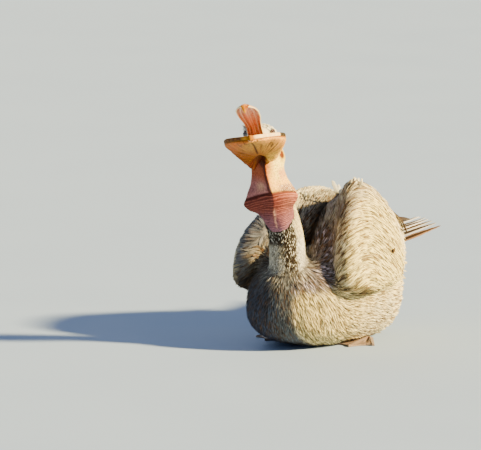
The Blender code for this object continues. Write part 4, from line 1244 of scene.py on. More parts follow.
def feathers(
    roots, length, width, lift, stations=4, arch=0.35, stray=7, stiff=0.2, seed=0, alike=0.65, streak_size=0.0085
):
    """Points, triangles, marks and bake places of the feathers on these roots. Sizes may differ by root."""
    spots, which, share = roots
    rng = np.random.default_rng(seed)
    count = len(spots)
    length = np.broadcast_to(length, count) * rng.uniform(0.78, 1.2, count)
    width = np.broadcast_to(width, count) * rng.uniform(0.8, 1.2, count)
    lift = np.broadcast_to(lift, count) * rng.uniform(0.6, 1.35, count)
    normal, along = (unit(skin.read(values, spots, which)) for values in (skin_normals, way))
    turned = np.radians(rng.normal(0, stray, count))[:, None]
    along = unit(along * np.cos(turned) + np.cross(normal, along) * np.sin(turned))
    base_tint, streak = plumage(spots, skin.read(belongs, spots, which), normal)
    spine, normals, ways = walk(spots, normal, along, length / stations, stations, stiff)
    grain = patchy(spine.reshape(-1, 3), streak_size, 21).reshape(count, -1).mean(axis=1)
    chance = alike * grain.argsort().argsort() / count + (1 - alike) * rng.random(count)  # neighbours in line
    lift = lift * (0.55 + 0.85 * chance)
    share_along = np.linspace(0, 1, stations + 1)
    height = ROOT_HEIGHT + lift[:, None] * share_along**1.15
    middle = spine + normals * height[..., None]
    tilt = np.radians(rng.normal(0, 9, count))[:, None, None]
    across = np.cross(normals, ways)
    across = across * np.cos(tilt) + normals * np.sin(tilt)
    half = width[:, None] * OUTLINE(share_along)[:, 0]
    left, right = (middle + out * across * half[..., None] for out in (1, -1))
    middle = middle + normals * (half * arch)[..., None]
    rows = np.stack([left[:, :-1], middle[:, :-1], right[:, :-1]], 2).reshape(count, -1, 3)
    points = np.concatenate([rows, middle[:, -1:]], 1)
    each = points.shape[1]
    tip = each - 1
    pattern = grid_triangles(stations, 3).tolist() + [[tip - 3, tip - 2, tip], [tip - 2, tip - 1, tip]]
    triangles = (np.arange(count)[:, None, None] * each + np.array(pattern)[None]).reshape(-1, 3)
    place_across = np.tile([-1.0, 0.0, 1.0], stations).tolist() + [0.0]
    place_along = np.repeat(share_along[:-1], 3).tolist() + [1.0]
    vane = np.stack(np.broadcast_arrays(place_across, place_along, chance[:, None]), -1)
    tints = np.broadcast_to(with_alpha(base_tint, streak)[:, None, :], (count, each, 4))
    root_uv = (corner_uv[which] * share[:, :, None]).sum(axis=1)
    patch = np.array(place_along) * BAKE_LENGTH - BAKE_HALF_WIDTH
    patch = np.stack([np.array(place_across) * BAKE_HALF_WIDTH, patch], -1)
    uv = root_uv[:, None, :] + patch[None]
    return (
        points.reshape(-1, 3),
        triangles,
        {"vane": vane.reshape(-1, 3), "tint": tints.reshape(-1, 4)},
        uv.reshape(-1, 2),
    )


print("ready to grow")

# %% [markdown]
# ### What a feather is painted like
#
# The blade reads where it is on itself. A dark line runs down its shaft and fades at the root, its edges are paler,
# barbs slant away from the shaft, and each feather is a little lighter or darker than its neighbours. Shade is
# painted too: the darkest feathers stand for the shadow in the gaps between them, and each blade darkens towards its
# root, where the one before shades it.

# %% Feather paint
def feather_paint(
    name, shaft_width=0.52, root_shade=0.14, relief=1.0, sheen=0.02, two_tone=0.0, dimmest=0.30, lone=0.0
):
    paint = Paint(name, Roughness=0.80, Sheen_Weight=sheen, Specular_IOR_Level=0.06)
    between, times, shaded = paint.between, paint.times, paint.shaded
    sideways, along, chance = paint.add("SeparateXYZ", {"Vector": paint.mark("vane", "Vector")}).outputs
    across = paint.sums("ABSOLUTE", sideways)
    tint, streak = paint.mark("tint"), paint.mark("tint", "Alpha")
    fine = paint.noise(700, 3, rough=0.7)
    colour = shaded(tint, between(chance, 0.05, 0.75, dimmest, 1.12))
    # painted shade: the darkest feathers stand for the shadow in the gaps between feathers
    gap = times(between(chance, 0.36, 0.16), times(streak, 0.85))
    colour = paint.mix(gap, colour, (0.12, 0.075, 0.045, 1))
    if lone:  # one feather in six is dark, and draws a thin line
        own = paint.sums("FRACT", times(chance, 17.0))
        single = times(between(own, 0.22, 0.14), times(streak, lone))
        colour = paint.mix(single, colour, (0.16, 0.085, 0.040, 1))
    if two_tone:  # a dark stripe runs along each shaft
        colour = paint.mix(between(across, 0.56, 0.44, 0.0, two_tone), colour, (0.012, 0.007, 0.004, 1))
    colour = shaded(colour, between(across, 0.40, 1.0, 1.0, 1.25))
    shaft = times(between(across, 0.08, shaft_width, 1.0, 0.0), between(along, 0.0, 0.35, 0.4, 1.0))
    shaft = times(times(shaft, streak), between(chance, 0.75, 0.35, 0.35, 1.0))
    colour = paint.mix(shaft, colour, (0.060, 0.032, 0.014, 1))
    # painted shade towards the root, under the feather before
    colour = shaded(colour, between(along, 0.10, 0.70, root_shade, 1.0))
    colour = shaded(colour, between(fine, 0.35, 0.7, 1.05, 0.84))
    barbs = paint.sums("SINE", paint.sums("ADD", times(along, 60.0), times(across, 22.0)))
    relief_of_fine = paint.relief(fine, 0.0003, 0.4 * relief)
    return paint.finish(
        colour, between(fine, 0.3, 0.7, 0.68, 0.9), paint.relief(barbs, 0.00025, 0.5 * relief, relief_of_fine)
    )


coat_paint = feather_paint("contour_feathers", root_shade=0.20, dimmest=0.42, lone=0.85)
neck_paint = feather_paint("neck_feathers", shaft_width=0.45, root_shade=0.30, dimmest=0.34)
head_paint = feather_paint("head_feathers", shaft_width=0.40, root_shade=0.55, dimmest=0.75)
shade_paint = feather_paint("far_wing_feathers", shaft_width=0.46, root_shade=0.55, dimmest=0.62, lone=0.5)

# %% [markdown]
# ### The coat, region by region
#
# Real plumage changes size over the body: threads a centimetre long on the face and neck, broad short ones on
# the breast, and long narrow ones on the shoulders and wings. So each region has its own spacing and size, and
# is one mesh. Roots under the bare throat, on the bare face and flat on the floor are left out.

# %% Regions
MOST_TRIANGLES, LEAST_OVER_FLOOR = 200000, 0.0002
FLAT_BELOW, THROAT_ABOVE, UNDER_THROAT = 0.004, 0.27, 0.04
BESIDE_THROAT = [FLESH.index(name) for name in ("neck_lower", "neck_upper", "head")]
middle_of = skin_points[skin_triangles].mean(axis=1)
strongest = belongs[skin_triangles].mean(axis=1).argmax(axis=1)
bare_face = face[skin_triangles].mean(axis=1)
upper = np.flatnonzero((middle_of[:, 2] > THROAT_ABOVE) & np.isin(strongest, BESIDE_THROAT))
spots, _, far = Surface(gular_points, gular_triangles).nearest(middle_of[upper])
inward = dot(spots - middle_of[upper], skin_normals[skin_triangles[upper, 0]])[:, 0] > 0
under_bare_skin = np.zeros(len(middle_of), bool)
under_bare_skin[upper] = inward & (far < UNDER_THROAT) & (far > 0)
hidden = (middle_of[:, 2] < FLAT_BELOW) | (bare_face > 0.5) | under_bare_skin


def region(name, also=True):
    """The triangles of one part that grow feathers, and where something else holds too."""
    return np.flatnonzero((strongest == FLESH.index(name)) & ~hidden & also)


def coat(name, chosen, spacing, length, width, lift, paint, seed, slot="plumage", **more):
    """One piece of coat. Spacing is one number for close short plumage, or (aside, along) for long feathers."""
    roots = scatter(chosen, spacing, seed) if isinstance(spacing, float) else strew(chosen, *spacing, seed)

    def sized(value):
        return value(roots[0]) if callable(value) else value

    points, triangles, marks, uv = feathers(roots, sized(length), sized(width), sized(lift), seed=seed + 100, **more)
    points[:, 2] = np.maximum(points[:, 2], LEAST_OVER_FLOOR)
    assert len(triangles) < MOST_TRIANGLES, (name, len(triangles))
    piece(name, mesh_of(name, points, triangles, marks, uv), paint)


def by_place(first, second, share_at):
    """A size that goes from the first value to the second over the body."""
    return lambda spots: first + (second - first) * share_at(spots)


print(int(hidden.sum()), "triangles stay bare")

# %% Head, neck and trunk
back = middle_of[:, 1] > 0.02
breast, rump = region("trunk", also=~back), region("trunk", also=back)
FLECKED = {"stations": 3, "stray": 12, "alike": 0.1}
STREAKED = {"stations": 3, "stray": 9, "alike": 0.45, "streak_size": 0.0045}
coat("coat_head", region("head"), 0.0020, 0.0085, 0.0009, 0.0022, head_paint, 11, stations=3, stray=16)
coat("coat_neck_upper", region("neck_upper"), 0.0017, 0.0080, 0.0008, 0.0024, neck_paint, 12, **FLECKED)
coat("coat_neck_lower", region("neck_lower"), 0.0017, 0.0085, 0.0008, 0.0026, neck_paint, 13, **FLECKED)
coat("coat_breast", breast, (0.0016, 0.0056), 0.0215, 0.0009, 0.0040, coat_paint, 14, **STREAKED)
coat("coat_rump", rump, (0.0030, 0.0110), 0.0340, 0.0020, 0.0055, coat_paint, 15, stray=9)
print("head, neck and trunk coated")

# %% [markdown]
# ### Two layers on the wings
#
# Long feathers lie in rows, and between two rows the skin could show. An under-layer of broad feathers, sown
# thinly, closes those gaps as down does. The long ones over it grow shorter towards the front, and on the flank
# their tips stand off more.

# %% Shoulders and wings
LONG = {
    "slot": "wing_plumage", "stations": 6, "stray": 4.0, "stiff": 0.1, "arch": 0.42, "alike": 0.30,
    "streak_size": 0.006,
}


def in_front(spots):
    return ramp(spots[:, 1], -0.10, -0.15)


def at_flank(spots):
    return ramp(spots[:, 1], 0.10, 0.17) * ramp(spots[:, 2], 0.24, 0.21)


shorter, slimmer = by_place(0.040, 0.016, in_front), by_place(0.0013, 0.0010, in_front)
for side_name, seed, lie, finish in (("left", 16, 0.0052, coat_paint), ("right", 26, 0.0034, shade_paint)):
    shoulder, wing = region(f"mantle_{side_name}"), region(f"wing_{side_name}")
    wing_length, wing_lift = by_place(0.050, 0.034, in_front), by_place(lie, 0.0110, at_flank)
    coat(f"under_shoulder_{side_name}", shoulder, 0.0070, 0.024, 0.0030, 0.0030, coat_paint, seed, "wing_plumage")
    coat(
        f"coat_shoulder_{side_name}", shoulder, (0.0024, 0.011), shorter, slimmer, 0.0050, coat_paint, seed + 1,
        **LONG,
    )
    coat(f"under_wing_{side_name}", wing, 0.0070, 0.032, 0.0030, 0.0026, finish, seed + 2, "wing_plumage")
    coat(
        f"coat_wing_{side_name}", wing, (0.0021, 0.012), wing_length, 0.0013, wing_lift, finish, seed + 3, **LONG
    )
print("wings coated")

# %% [markdown]
# ## The tail and the long wing feathers
#
# A pelican has a short tail of stiff feathers in a low fan, the middle ones on top. They are ash-white with
# black shafts, and worn at the tips. Long feathers also close the back of each folded wing: pale tertials along
# its upper edge, and a few dark primaries that cross over the rump. At this size each is a closed blade with a
# rib, made in a loop from its root and its tip.

# %% One long feather
LONG_OUTLINE = track([(0, 0.30), (0.12, 0.62), (0.45, 1.0), (0.8, 0.96), (0.93, 0.68), (0.985, 0.28), (1, 0.06)])
BLADE_ROWS, BLADE_COLUMNS, BLADE_ARCH, RIB_HEIGHT = 30, 11, 0.16, 0.0008


def blade(root, tip, up, half_width, tint, streak, bend=0.004, thick=0.0008, seed=0, fray=0.05, narrow=0.0):
    """A long feather from root to tip as a closed thin form whose face looks up, with its marks."""
    rng = np.random.default_rng(seed)
    lengthwise, crosswise = np.linspace(0, 1, BLADE_ROWS), np.linspace(-1, 1, BLADE_COLUMNS)
    share, across = np.meshgrid(lengthwise, crosswise, indexing="ij")
    root, tip, up = (np.array(value, float) for value in (root, tip, up))
    along = unit(tip - root)
    side = unit(np.cross(along, up))
    lift = np.cross(side, along)
    half = half_width * LONG_OUTLINE(share)[..., 0] * (1 - narrow * ramp(share, 0.45, 0.95))
    half = half * (1 + fray * np.sin(share * 40 + seed) * ramp(share, 0.3, 1.0) * np.sign(across))
    spine = root + (tip - root) * share[..., None] + lift * (4 * bend * share * (1 - share))[..., None]
    top = spine + side * (half * across)[..., None]
    raised = half * BLADE_ARCH * (1 - across**2) + RIB_HEIGHT * bump_at(across, 0, 0.12) * ramp(share, 1.0, 0.5)
    top = top + lift * raised[..., None]
    points, triangles = closed_loft(there_and_back(top, top - lift * thick))
    chance = np.full(share.shape, rng.random())
    vane = np.stack([across, share, chance], -1)
    vane = with_ends(there_and_back(vane, vane))
    tints = np.broadcast_to([*tint, streak], (len(points), 4))
    return points, triangles, vane, tints


def bundle(name, blades, paint, stands_for=()):
    """Several long feathers as one piece. Each has its own strip on the bake's picture."""
    points, triangles = joined_arrays([made[:2] for made in blades])
    vane, tints = (np.concatenate([made[k] for made in blades]) for k in (2, 3))
    number = np.concatenate([np.full(len(made[0]), i) for i, made in enumerate(blades)])
    uv = np.stack([(number + 0.5 + 0.45 * vane[:, 0]) / len(blades), 0.02 + 0.96 * vane[:, 1]], -1)
    mesh = mesh_of(name, points, triangles, {"vane": vane, "tint": tints}, uv)
    piece(name, mesh, paint, stands_for)


print("ready for long feathers")

# %% Tail
quill_paint = feather_paint("flight_feathers", shaft_width=0.34, root_shade=0.60, relief=0.7, sheen=0.03)
tail_paint = feather_paint("tail_feathers", shaft_width=0.40, root_shade=0.55, relief=0.5, sheen=0.0, two_tone=0.97)
TAIL_ROOT, TAIL_TIP = xyz(0, 0.250, 0.206), xyz(0, 0.481, 0.2050)
TAIL_FEATHERS = 11
rng = np.random.default_rng(3)
tail = []
for i, spread in enumerate(np.linspace(-1, 1, TAIL_FEATHERS)):
    lowest = i == TAIL_FEATHERS - 1  # the sun reaches all but the lowest one
    on_top = 1 - abs(spread)
    root = TAIL_ROOT + xyz(0.027 * spread, 0, -0.030 * spread**2 + 0.003 * on_top)
    droop = -0.0090 * max(spread, 0) ** 3 + 0.0085 * on_top
    tip = TAIL_TIP + xyz(0.0490 * spread, -0.008 * abs(spread) ** 3 - rng.uniform(0, 0.020), droop)
    up = (math.sin(0.62 * spread), 0.0, math.cos(0.62 * spread))
    half_width = 0.0060 if lowest else 0.0072
    pale = mixed(tone(0.60, 0.59, 0.62), tone(0.97, 0.96, 0.97), rng.random())
    pale = mixed(pale, tone(0.40, 0.25, 0.06), 0.85 * lowest)
    bend = 0.003 * rng.uniform(-1, 1)
    tail.append(blade(root, tip, up, half_width, pale, 1.0, bend=bend, seed=i, fray=0.16, narrow=0.60))
bundle("tail_feathers", tail, tail_paint, ("tail",))
print(len(tail), "tail feathers")

# %% Primaries
for side_name, out in (("left", 1), ("right", -1)):
    primaries = []
    for i in range(6):
        share = i / 5
        root = xyz(out * (0.040 - 0.010 * share), 0.215 - 0.01 * i, 0.236 - 0.003 * i)
        tip = xyz(out * (0.030 - 0.014 * share), 0.338 - 0.016 * i, 0.2255 - 0.0018 * i)
        dark = mixed(tone(0.30, 0.28, 0.27), tone(0.50, 0.47, 0.44), share)
        up = (out * (0.35 - 0.2 * share), 0, 1)
        primaries.append(blade(root, tip, up, 0.0085, dark, 0.8, bend=0.003, seed=20 + i))
    bundle(f"primaries_{side_name}_feathers", primaries, quill_paint, (f"primaries_{side_name}",))
print(len(primaries), "primaries on each side")

# %% Tertials
brown_paint = feather_paint("tertial_feathers", shaft_width=0.25, root_shade=0.7, sheen=0.03, two_tone=0.75)
WING_RIDGE = track([  # along the wings' upper edges: y, how far out, and the height on the left and on the right
    (0.060, 0.069, 0.321, 0.327),
    (0.106, 0.066, 0.297, 0.322),
    (0.150, 0.058, 0.277, 0.304),
    (0.198, 0.047, 0.259, 0.270),
    (0.241, 0.038, 0.236, 0.240),
    (0.292, 0.030, 0.213, 0.213),
])
for side_name, out, height_at in (("left", 1, 1), ("right", -1, 2)):
    tertials = []
    for i in range(5):
        start, end = 0.095 + 0.016 * i, 0.225 + 0.017 * i
        (x0, z0), (x1, z1) = (WING_RIDGE(at)[[0, height_at]] for at in (start, end))
        shift = 0.004 + 0.004 * i
        root = xyz(out * (x0 + shift), start, z0 - 0.004 - 0.3 * shift)
        tip = xyz(out * (x1 + shift * 0.8), end, z1 + 0.004 - 0.8 * shift)
        light = mixed(tone(0.98, 0.92, 0.72), tone(0.90, 0.72, 0.42), rng.random())
        tertials.append(blade(root, tip, (out * 0.75, 0.15, 0.8), 0.0058, light, 1.0, bend=0.006, seed=40 + i))
    bundle(f"tertials_{side_name}", tertials, brown_paint)
print(len(tertials), "tertials on each side")

# %% [markdown]
# ### Loose feathers
#
# No living coat lies perfectly shut. Wind lifts a few feathers from the wings' tops, the neck, the flank and the
# brow, and their tips break the outline. They are small blades strewn round one place and turned a little by chance.

# %% Loose feathers
TURNED_BY, FACING = 0.22, (0.45, -0.85, 0.3)


def tuft(name, root, spread, toward, count, length, half_width, tint, seed, streak=0.4, paint=coat_paint):
    """Loose feathers that stand out of the coat round one place."""
    rng = np.random.default_rng(seed)
    made = []
    for i in range(count):
        start = np.array(root) + rng.normal(0, 1, 3) * np.array(spread)
        way_out = unit(np.array(toward, float) + rng.normal(0, TURNED_BY, 3))
        tip = start + way_out * length * rng.uniform(0.7, 1.15)
        facing = unit(np.array(FACING) + rng.normal(0, 0.2, 3))
        light = tint * rng.uniform(0.75, 1.0)
        bend = 0.12 * length  # longer feathers droop more
        made.append(blade(start, tip, facing, half_width, light, streak, bend, thick=0.0004, seed=seed + i, fray=0.2))
    bundle(name, made, paint)


right_brow = put(head_at, xyz(-0.0215, 0.002, 0.011))
LOOSE = {  # root, how far round it, direction, count, length, half width, colour and seed, with what differs
    "upright_feather": ((0.0215, 0.004, 0.303), (0.001, 0.001, 0.002), (0, -0.1, 1), 4, 0.042, 0.0046, WHITE, 60, 0),
    "ruffle_left": ((0.088, -0.056, 0.3435), (0.010, 0.004, 0.002), (0.25, 0.4, 0.85), 18, 0.019, 0.0020, PALE, 61),
    "ruffle_right": ((-0.060, -0.010, 0.306), (0.012, 0.012, 0.002), (0.2, 0.6, 0.7), 12, 0.018, 0.0022, PALE, 62),
    "dark_feather": (
        (0.1610, -0.024, 0.196), (0.0006, 0.001, 0.001), (0.20, 0.8, 0.60), 4, 0.017, 0.0017, BARK * 0.6, 63, 1.0,
    ),
    "flank_tuft": ((0.084, 0.165, 0.122), (0.004, 0.008, 0.014), (0.35, 0.9, -0.15), 14, 0.017, 0.0018, BUFF, 64),
    "brow_tuft": (
        right_brow, (0.0016, 0.0035, 0.003), (-1, 0.1, 0.25), 30, 0.015, 0.0014, WHITE, 65, 0.0, quill_paint,
    ),
}
for name, sizes in LOOSE.items():
    tuft(name, *sizes)
print(len(LOOSE), "loose tufts")

# %% [markdown]
# ## The upper bill
#
# The bill is a long flat blade of horn, narrow in the middle and spoon-shaped near the end, with a hooked nail.
# Seen from below it is all palate: orange-red and faintly pitted, with a cream rim along the cutting edges, a
# pale ridge inside each, and a double ridge along the middle. One loft carries all of that: its rings are the
# cross-section of horn, and ridges are bumps on their lower side.

# %% Upper bill
BILL = track([  # share of the length, half width, height over the edge, depth under it, and the line's own rise
    (0.00, 0.0195, 0.0125, 0.0085, 0.0000),
    (0.12, 0.0178, 0.0105, 0.0065, -0.0010),
    (0.35, 0.0170, 0.0080, 0.0040, -0.0025),
    (0.52, 0.0190, 0.0065, 0.0028, -0.0025),
    (0.68, 0.0236, 0.0055, 0.0020, -0.0005),
    (0.80, 0.0245, 0.0050, 0.0018, 0.0010),
    (0.90, 0.0208, 0.0048, 0.0018, 0.0015),
    (0.97, 0.0122, 0.0045, 0.0020, 0.0010),
    (1.00, 0.0050, 0.0040, 0.0020, 0.0000),
])
BILL_ROWS, BILL_SIDES = 220, 96
LEAST_PALATE, SIDEWAYS_BEND = 0.0022, 0.0032
share, turn_at = rows_and_turns(1 - (1 - np.linspace(0, 1, BILL_ROWS)) ** 1.3, BILL_SIDES)
half_width, over, under, rise = np.moveaxis(BILL(share), -1, 0)
c, s = np.cos(turn_at), np.sin(turn_at)
inner = np.abs(c)
rim = bump_at(inner, 0.93, 0.05)
side_ridge = bump_at(inner, 0.56, 0.055) * ramp(share, 0.97, 0.9)
mid_ridge = bump_at(inner, 0.11, 0.055) * ramp(share, 0.93, 0.8)
palate = 0.35 * (1 - inner**6) + 0.75 * rim + 0.85 * side_ridge + 0.55 * mid_ridge
underside = -np.maximum(under, LEAST_PALATE) * palate
culmen = 0.0011 * bump_at(c, 0, 0.16) - 0.0007 * bump_at(inner, 0.42, 0.08)
topside = over * np.abs(s) ** 1.1 + culmen * ramp(share, 1.0, 0.9)
bill_x = half_width * c + SIDEWAYS_BEND * bump_at(share, 0.45, 0.28)
bill_rings = xyz(bill_x, -share * BILL_LENGTH, rise + np.where(s > 0, topside, underside))
bill_points, bill_triangles = closed_loft(put(bill_at, bill_rings))


print("bill", len(bill_points), "points")

# %% Colours of the bill
share_all, c_all, s_all = with_ends(share), with_ends(c), with_ends(s)
aside_all = np.abs(c_all)
below = ramp(s_all, 0.05, -0.05)
salmon, brick_red, ivory = tone(0.82, 0.62, 0.56), tone(0.85, 0.44, 0.32), tone(1.0, 0.93, 0.74)
spotted = patchy(bill_points, 0.0065, 8)
ridges = with_ends(side_ridge) * (0.75 + 0.25 * ramp(c_all, 0, 0.4)) + 0.7 * with_ends(mid_ridge)
grooves = 0.6 * bump_at(aside_all, 0.74, 0.05) + 0.5 * bump_at(aside_all, 0.42, 0.05)
palate_tint = layered(
    brick_red,
    (tone(1.0, 0.76, 0.62), 0.85 * spotted),
    (mixed(salmon, tone(0.50, 0.27, 0.22), spotted), ramp(c_all, -0.15, -0.6) * 0.85),
    (tone(0.66, 0.24, 0.12), 0.5 * ramp(share_all, 0.35, 0.05) * spotted),
    (tone(1.0, 0.90, 0.78), np.clip(ridges, 0, 1)),
)
# painted shade in the grooves between the palate's ridges
palate_tint = mixed(palate_tint, palate_tint * 0.5, grooves * (0.4 + 0.6 * ramp(share_all, 0.10, 0.40)))
palate_tint = mixed(palate_tint, ivory, 0.95 * ramp(aside_all, 0.84, 0.92))
top_tint = layered(
    tone(0.66, 0.60, 0.60),
    (tone(0.80, 0.66, 0.52), ramp(aside_all, 0.35, 0.85)),
    (tone(0.93, 0.70, 0.38), 0.8 * ramp(aside_all, 0.80, 0.98)),
    (tone(0.90, 0.66, 0.36), 0.5 * ramp(share_all, 0.75, 1.0)),
)
bill_tint = mixed(top_tint, palate_tint, below)
print("bill coloured at", len(bill_tint), "points")

# %% [markdown]
# ### Horn
#
# Horn is hard, a little clear and worn. Its pits, scratches and the pale beads of the palate are too fine to
# carve, so they are drawn in its roughness and relief.

# %% Horn
def horn_finish_of(name, gloss, rough):
    """Horn that takes its colour from the piece: grain, fine scratches, pits, and pale beads where marked."""
    horn = Paint(name, Coat_Weight=0.02, Subsurface_Weight=0.04, Subsurface_Scale=0.002, Specular_IOR_Level=gloss)
    horn.shader.inputs["Coat Roughness"].default_value = 0.2
    grain = horn.noise(500, 5, rough=0.7)
    scratches = horn.noise(120, 5, rough=0.7, stretch=(6, 0.6, 6))
    pits, papillae = horn.cells(420.0), horn.cells(230.0)
    grained = horn.between(grain, 0.35, 0.75, 0, 0.30)
    horn_colour = horn.mix(grained, horn.mark("tint"), (0.95, 0.68, 0.42, 1), "MULTIPLY")
    dots = horn.times(horn.between(papillae, 0.38, 0.22), horn.mark("tint", "Alpha"))
    horn_colour = horn.mix(horn.times(dots, 0.9), horn_colour, (1.0, 0.84, 0.66, 1))
    horn_colour = horn.mix(horn.between(scratches, 0.52, 0.7, 0, 0.35), horn_colour, (0.22, 0.08, 0.04, 1))
    return horn.finish(
        horn_colour,
        horn.between(grain, 0.3, 0.7, *rough),
        horn.relief(scratches, 0.0004, 0.5, horn.relief(pits, 0.0004, 0.45)),
    )


horn_finish = horn_finish_of("horn", 0.10, (0.34, 0.55))
jaw_finish = horn_finish_of("jaw_horn", 0.02, (0.62, 0.80))  # the jaw's edge is duller than the bill
beaded = below * ramp(aside_all, 0.9, 0.8)  # beads lie inside the rim
bill_mesh = mesh_of("bill", bill_points, bill_triangles, {"tint": with_alpha(bill_tint, beaded)})
piece("bill", bill_mesh, horn_finish, ("bill_upper",))
print("bill dressed")

# %% [markdown]
# ## The nail
#
# The bill ends in a hook of harder, yellow horn. It starts broad on the bill's end, and rings along an arc that
# turns by 112 degrees carry it over and down, getting thinner toward the point.

# %% Nail
NAIL_ROWS, NAIL_SIDES, NAIL_TURN = 40, 32, math.radians(112)
NAIL_BACK, NAIL_REACH, NAIL_TOP, NAIL_DROP, NAIL_THICK = 0.0161, 0.0203, 0.0035, 0.0137, 0.0034
share, turn_at = rows_and_turns(np.linspace(0, 1, NAIL_ROWS), NAIL_SIDES)
bend = share * NAIL_TURN
thin = np.sqrt(np.maximum(1 - share**2.2, 0.004))
nail_y = -BILL_LENGTH + NAIL_BACK - NAIL_REACH * np.sin(bend)
centre = xyz(0, nail_y, NAIL_TOP - NAIL_DROP * (1 - np.cos(bend)))
out_way = xyz(0, -np.sin(bend), np.cos(bend))
crest = 1 + 0.25 * bump_at(np.cos(turn_at), 0, 0.3) * (np.sin(turn_at) > 0)
nail_half = 0.0092 - 0.0034 * ramp(share, 0.25, 0.8)  # broad at its root, and drawn in towards the hook
nail_rings = centre + xyz(nail_half * thin * np.cos(turn_at), 0, 0)
nail_rings = nail_rings + out_way * (NAIL_THICK * thin * np.sin(turn_at) * crest)[..., None]
nail_points, nail_triangles = closed_loft(put(bill_at, nail_rings))
# painted light evened out: the side the sun falls on is a darker orange, the shaded side a brighter one
nail_tint = layered(
    tone(1.0, 0.60, 0.0),
    (tone(0.52, 0.28, 0.0), ramp(with_ends(np.cos(turn_at)), -0.4, 0.5)),
    (tone(0.90, 0.66, 0.14), 0.8 * ramp(with_ends(share), 0.66, 1.0)),
)
nail_mesh = mesh_of("nail", nail_points, nail_triangles, {"tint": with_alpha(nail_tint, 0)})
piece("nail", nail_mesh, horn_finish, ("bill_nail",))
print("nail", len(nail_points), "points")

# %% [markdown]
# ## The lower jaw
#
# Two springy branches of bone in a thin sheath of horn meet at a small yellow knob. Their upper edge is cream and the
# line where the pouch hangs on is orange. The right branch's outer face is painted purplish brown as shade, and dark
# bars on the left branch are painted shadow.

# %% Lower jaw
JAW_STEPS, JAW_SIDES = 110, 48
jaw_share = np.sin(0.5 * np.pi * np.arange(JAW_STEPS + 1) / JAW_STEPS) ** 1.15
jaw_half, jaw_rise = np.moveaxis(bow(jaw_share), -1, 0)
left_branch = xyz(jaw_half, -jaw_share * JAW_REACH, jaw_rise)
right_branch = left_branch[-2::-1] * xyz(-1, 1, 1)
path = np.concatenate([left_branch, right_branch])
run = np.concatenate([jaw_share, jaw_share[-2::-1]])
on_left = np.concatenate([np.ones(len(left_branch)), np.zeros(len(right_branch))])
heading = unit(np.gradient(path, axis=0))
heading[JAW_STEPS] = unit(path[JAW_STEPS + 1] - path[JAW_STEPS - 1])
inwards = unit(np.cross(heading, [0, 0, 1.0]))
turn_at = round_turn(JAW_SIDES)
c = np.sign(np.cos(turn_at)) * np.abs(np.cos(turn_at)) ** 0.8
s = np.sign(np.sin(turn_at)) * np.abs(np.sin(turn_at)) ** 0.9
knob = 1 + 0.35 * bump_at(run, 1.0, 0.006)
thick = RAMUS_HALF_THICK * (1 + 0.25 * ramp(run, 0.3, 0.0)) * knob
jaw_rings = path[:, None, :] + inwards[:, None, :] * (thick[:, None] * c)[..., None]
jaw_rings = jaw_rings + xyz(0, 0, 1.0) * (RAMUS_HALF_HEIGHT * knob[:, None] * s)[..., None]
jaw_points, jaw_triangles = closed_loft(put(jaw_at, jaw_rings))
print("jaw", len(jaw_points), "points")

# %% Colours of the jaw
grid_of = np.zeros((len(path), JAW_SIDES))
run_all, left_all = with_ends(grid_of + run[:, None]), with_ends(grid_of + on_left[:, None])
c_all, s_all = with_ends(grid_of + c), with_ends(grid_of + s)
outer_face = ramp(-c_all, 0.1, 0.6)
# painted shade: the right branch's outer face is purplish brown
right_face_shade = ramp(-c_all, 0.35, 0.55) * (1 - left_all) * (0.80 + 0.19 * patchy(jaw_points, 0.012, 13))
notch = left_all * ramp(run_all, 0.55, 0.58) * ramp(run_all, 0.76, 0.73) * ramp(-c_all, 0.0, 0.2)
notch = notch * (0.88 + 0.12 * np.sin(run_all * 130))  # painted shadow under the rim, in bars
jaw_tint = layered(
    tone(0.97, 0.88, 0.70),
    (tone(0.90, 0.66, 0.42), 0.5 * patchy(jaw_points, 0.02, 9)),
    (tone(0.95, 0.66, 0.20), ramp(-c_all, -0.4, 0.1) * (1 - left_all)),  # the near branch's top edge
    (tone(0.27, 0.14, 0.13), right_face_shade * ramp(run_all, 1.0, 0.95)),
    # painted shadow under the rim, in dark bars
    (tone(0.04, 0.03, 0.03), np.clip(1.15 * notch, 0, 0.985)),
    (tone(0.46, 0.31, 0.03), outer_face * ramp(s_all, -0.45, -0.8) * 0.95),
    (tone(0.60, 0.38, 0.02), ramp(run_all, 0.975, 0.992)),
)
jaw_mesh = mesh_of("jaw", jaw_points, jaw_triangles, {"tint": with_alpha(jaw_tint, 0)})
piece("jaw", jaw_mesh, jaw_finish, ("bill_lower",))
print("jaw dressed")

# %% [markdown]
# ## Eyes and lids
#
# Each eye is a wet ball set in a ring of bare skin, dark reddish brown round a black pupil. The colour of a
# point depends on its angle from the eye's axis. The lids are two soft rolls that follow the ball and meet at
# the corners, so the opening is an almond and not a circle.

# %% Eyes
eye_paint = Paint("eye", Roughness=0.12, Coat_Weight=1.0, Specular_IOR_Level=0.6)
eye_paint.shader.inputs["Coat Roughness"].default_value = 0.02
flecks = eye_paint.noise(1500, 4, rough=0.7)
eye_finish = eye_paint.finish(
    eye_paint.mix(eye_paint.between(flecks, 0.35, 0.7, 0, 0.4), eye_paint.mark("tint"), (0.10, 0.03, 0.015, 1)),
    eye_paint.between(flecks, 0.2, 0.8, 0.06, 0.14),
)
lid_paint = Paint("eyelid", Subsurface_Weight=0.15, Subsurface_Scale=0.003, Specular_IOR_Level=0.5)
lid_creases = lid_paint.noise(1100, 5, rough=0.75)
lid_finish = lid_paint.finish(
    lid_paint.mix(lid_paint.between(lid_creases, 0.35, 0.7, 0, 0.5), lid_paint.mark("tint"), (0.20, 0.11, 0.08, 1)),
    lid_paint.between(lid_creases, 0.3, 0.7, 0.4, 0.65),
    lid_paint.relief(lid_creases, 0.0004, 0.8),
)
print("eye and lid finishes ready")

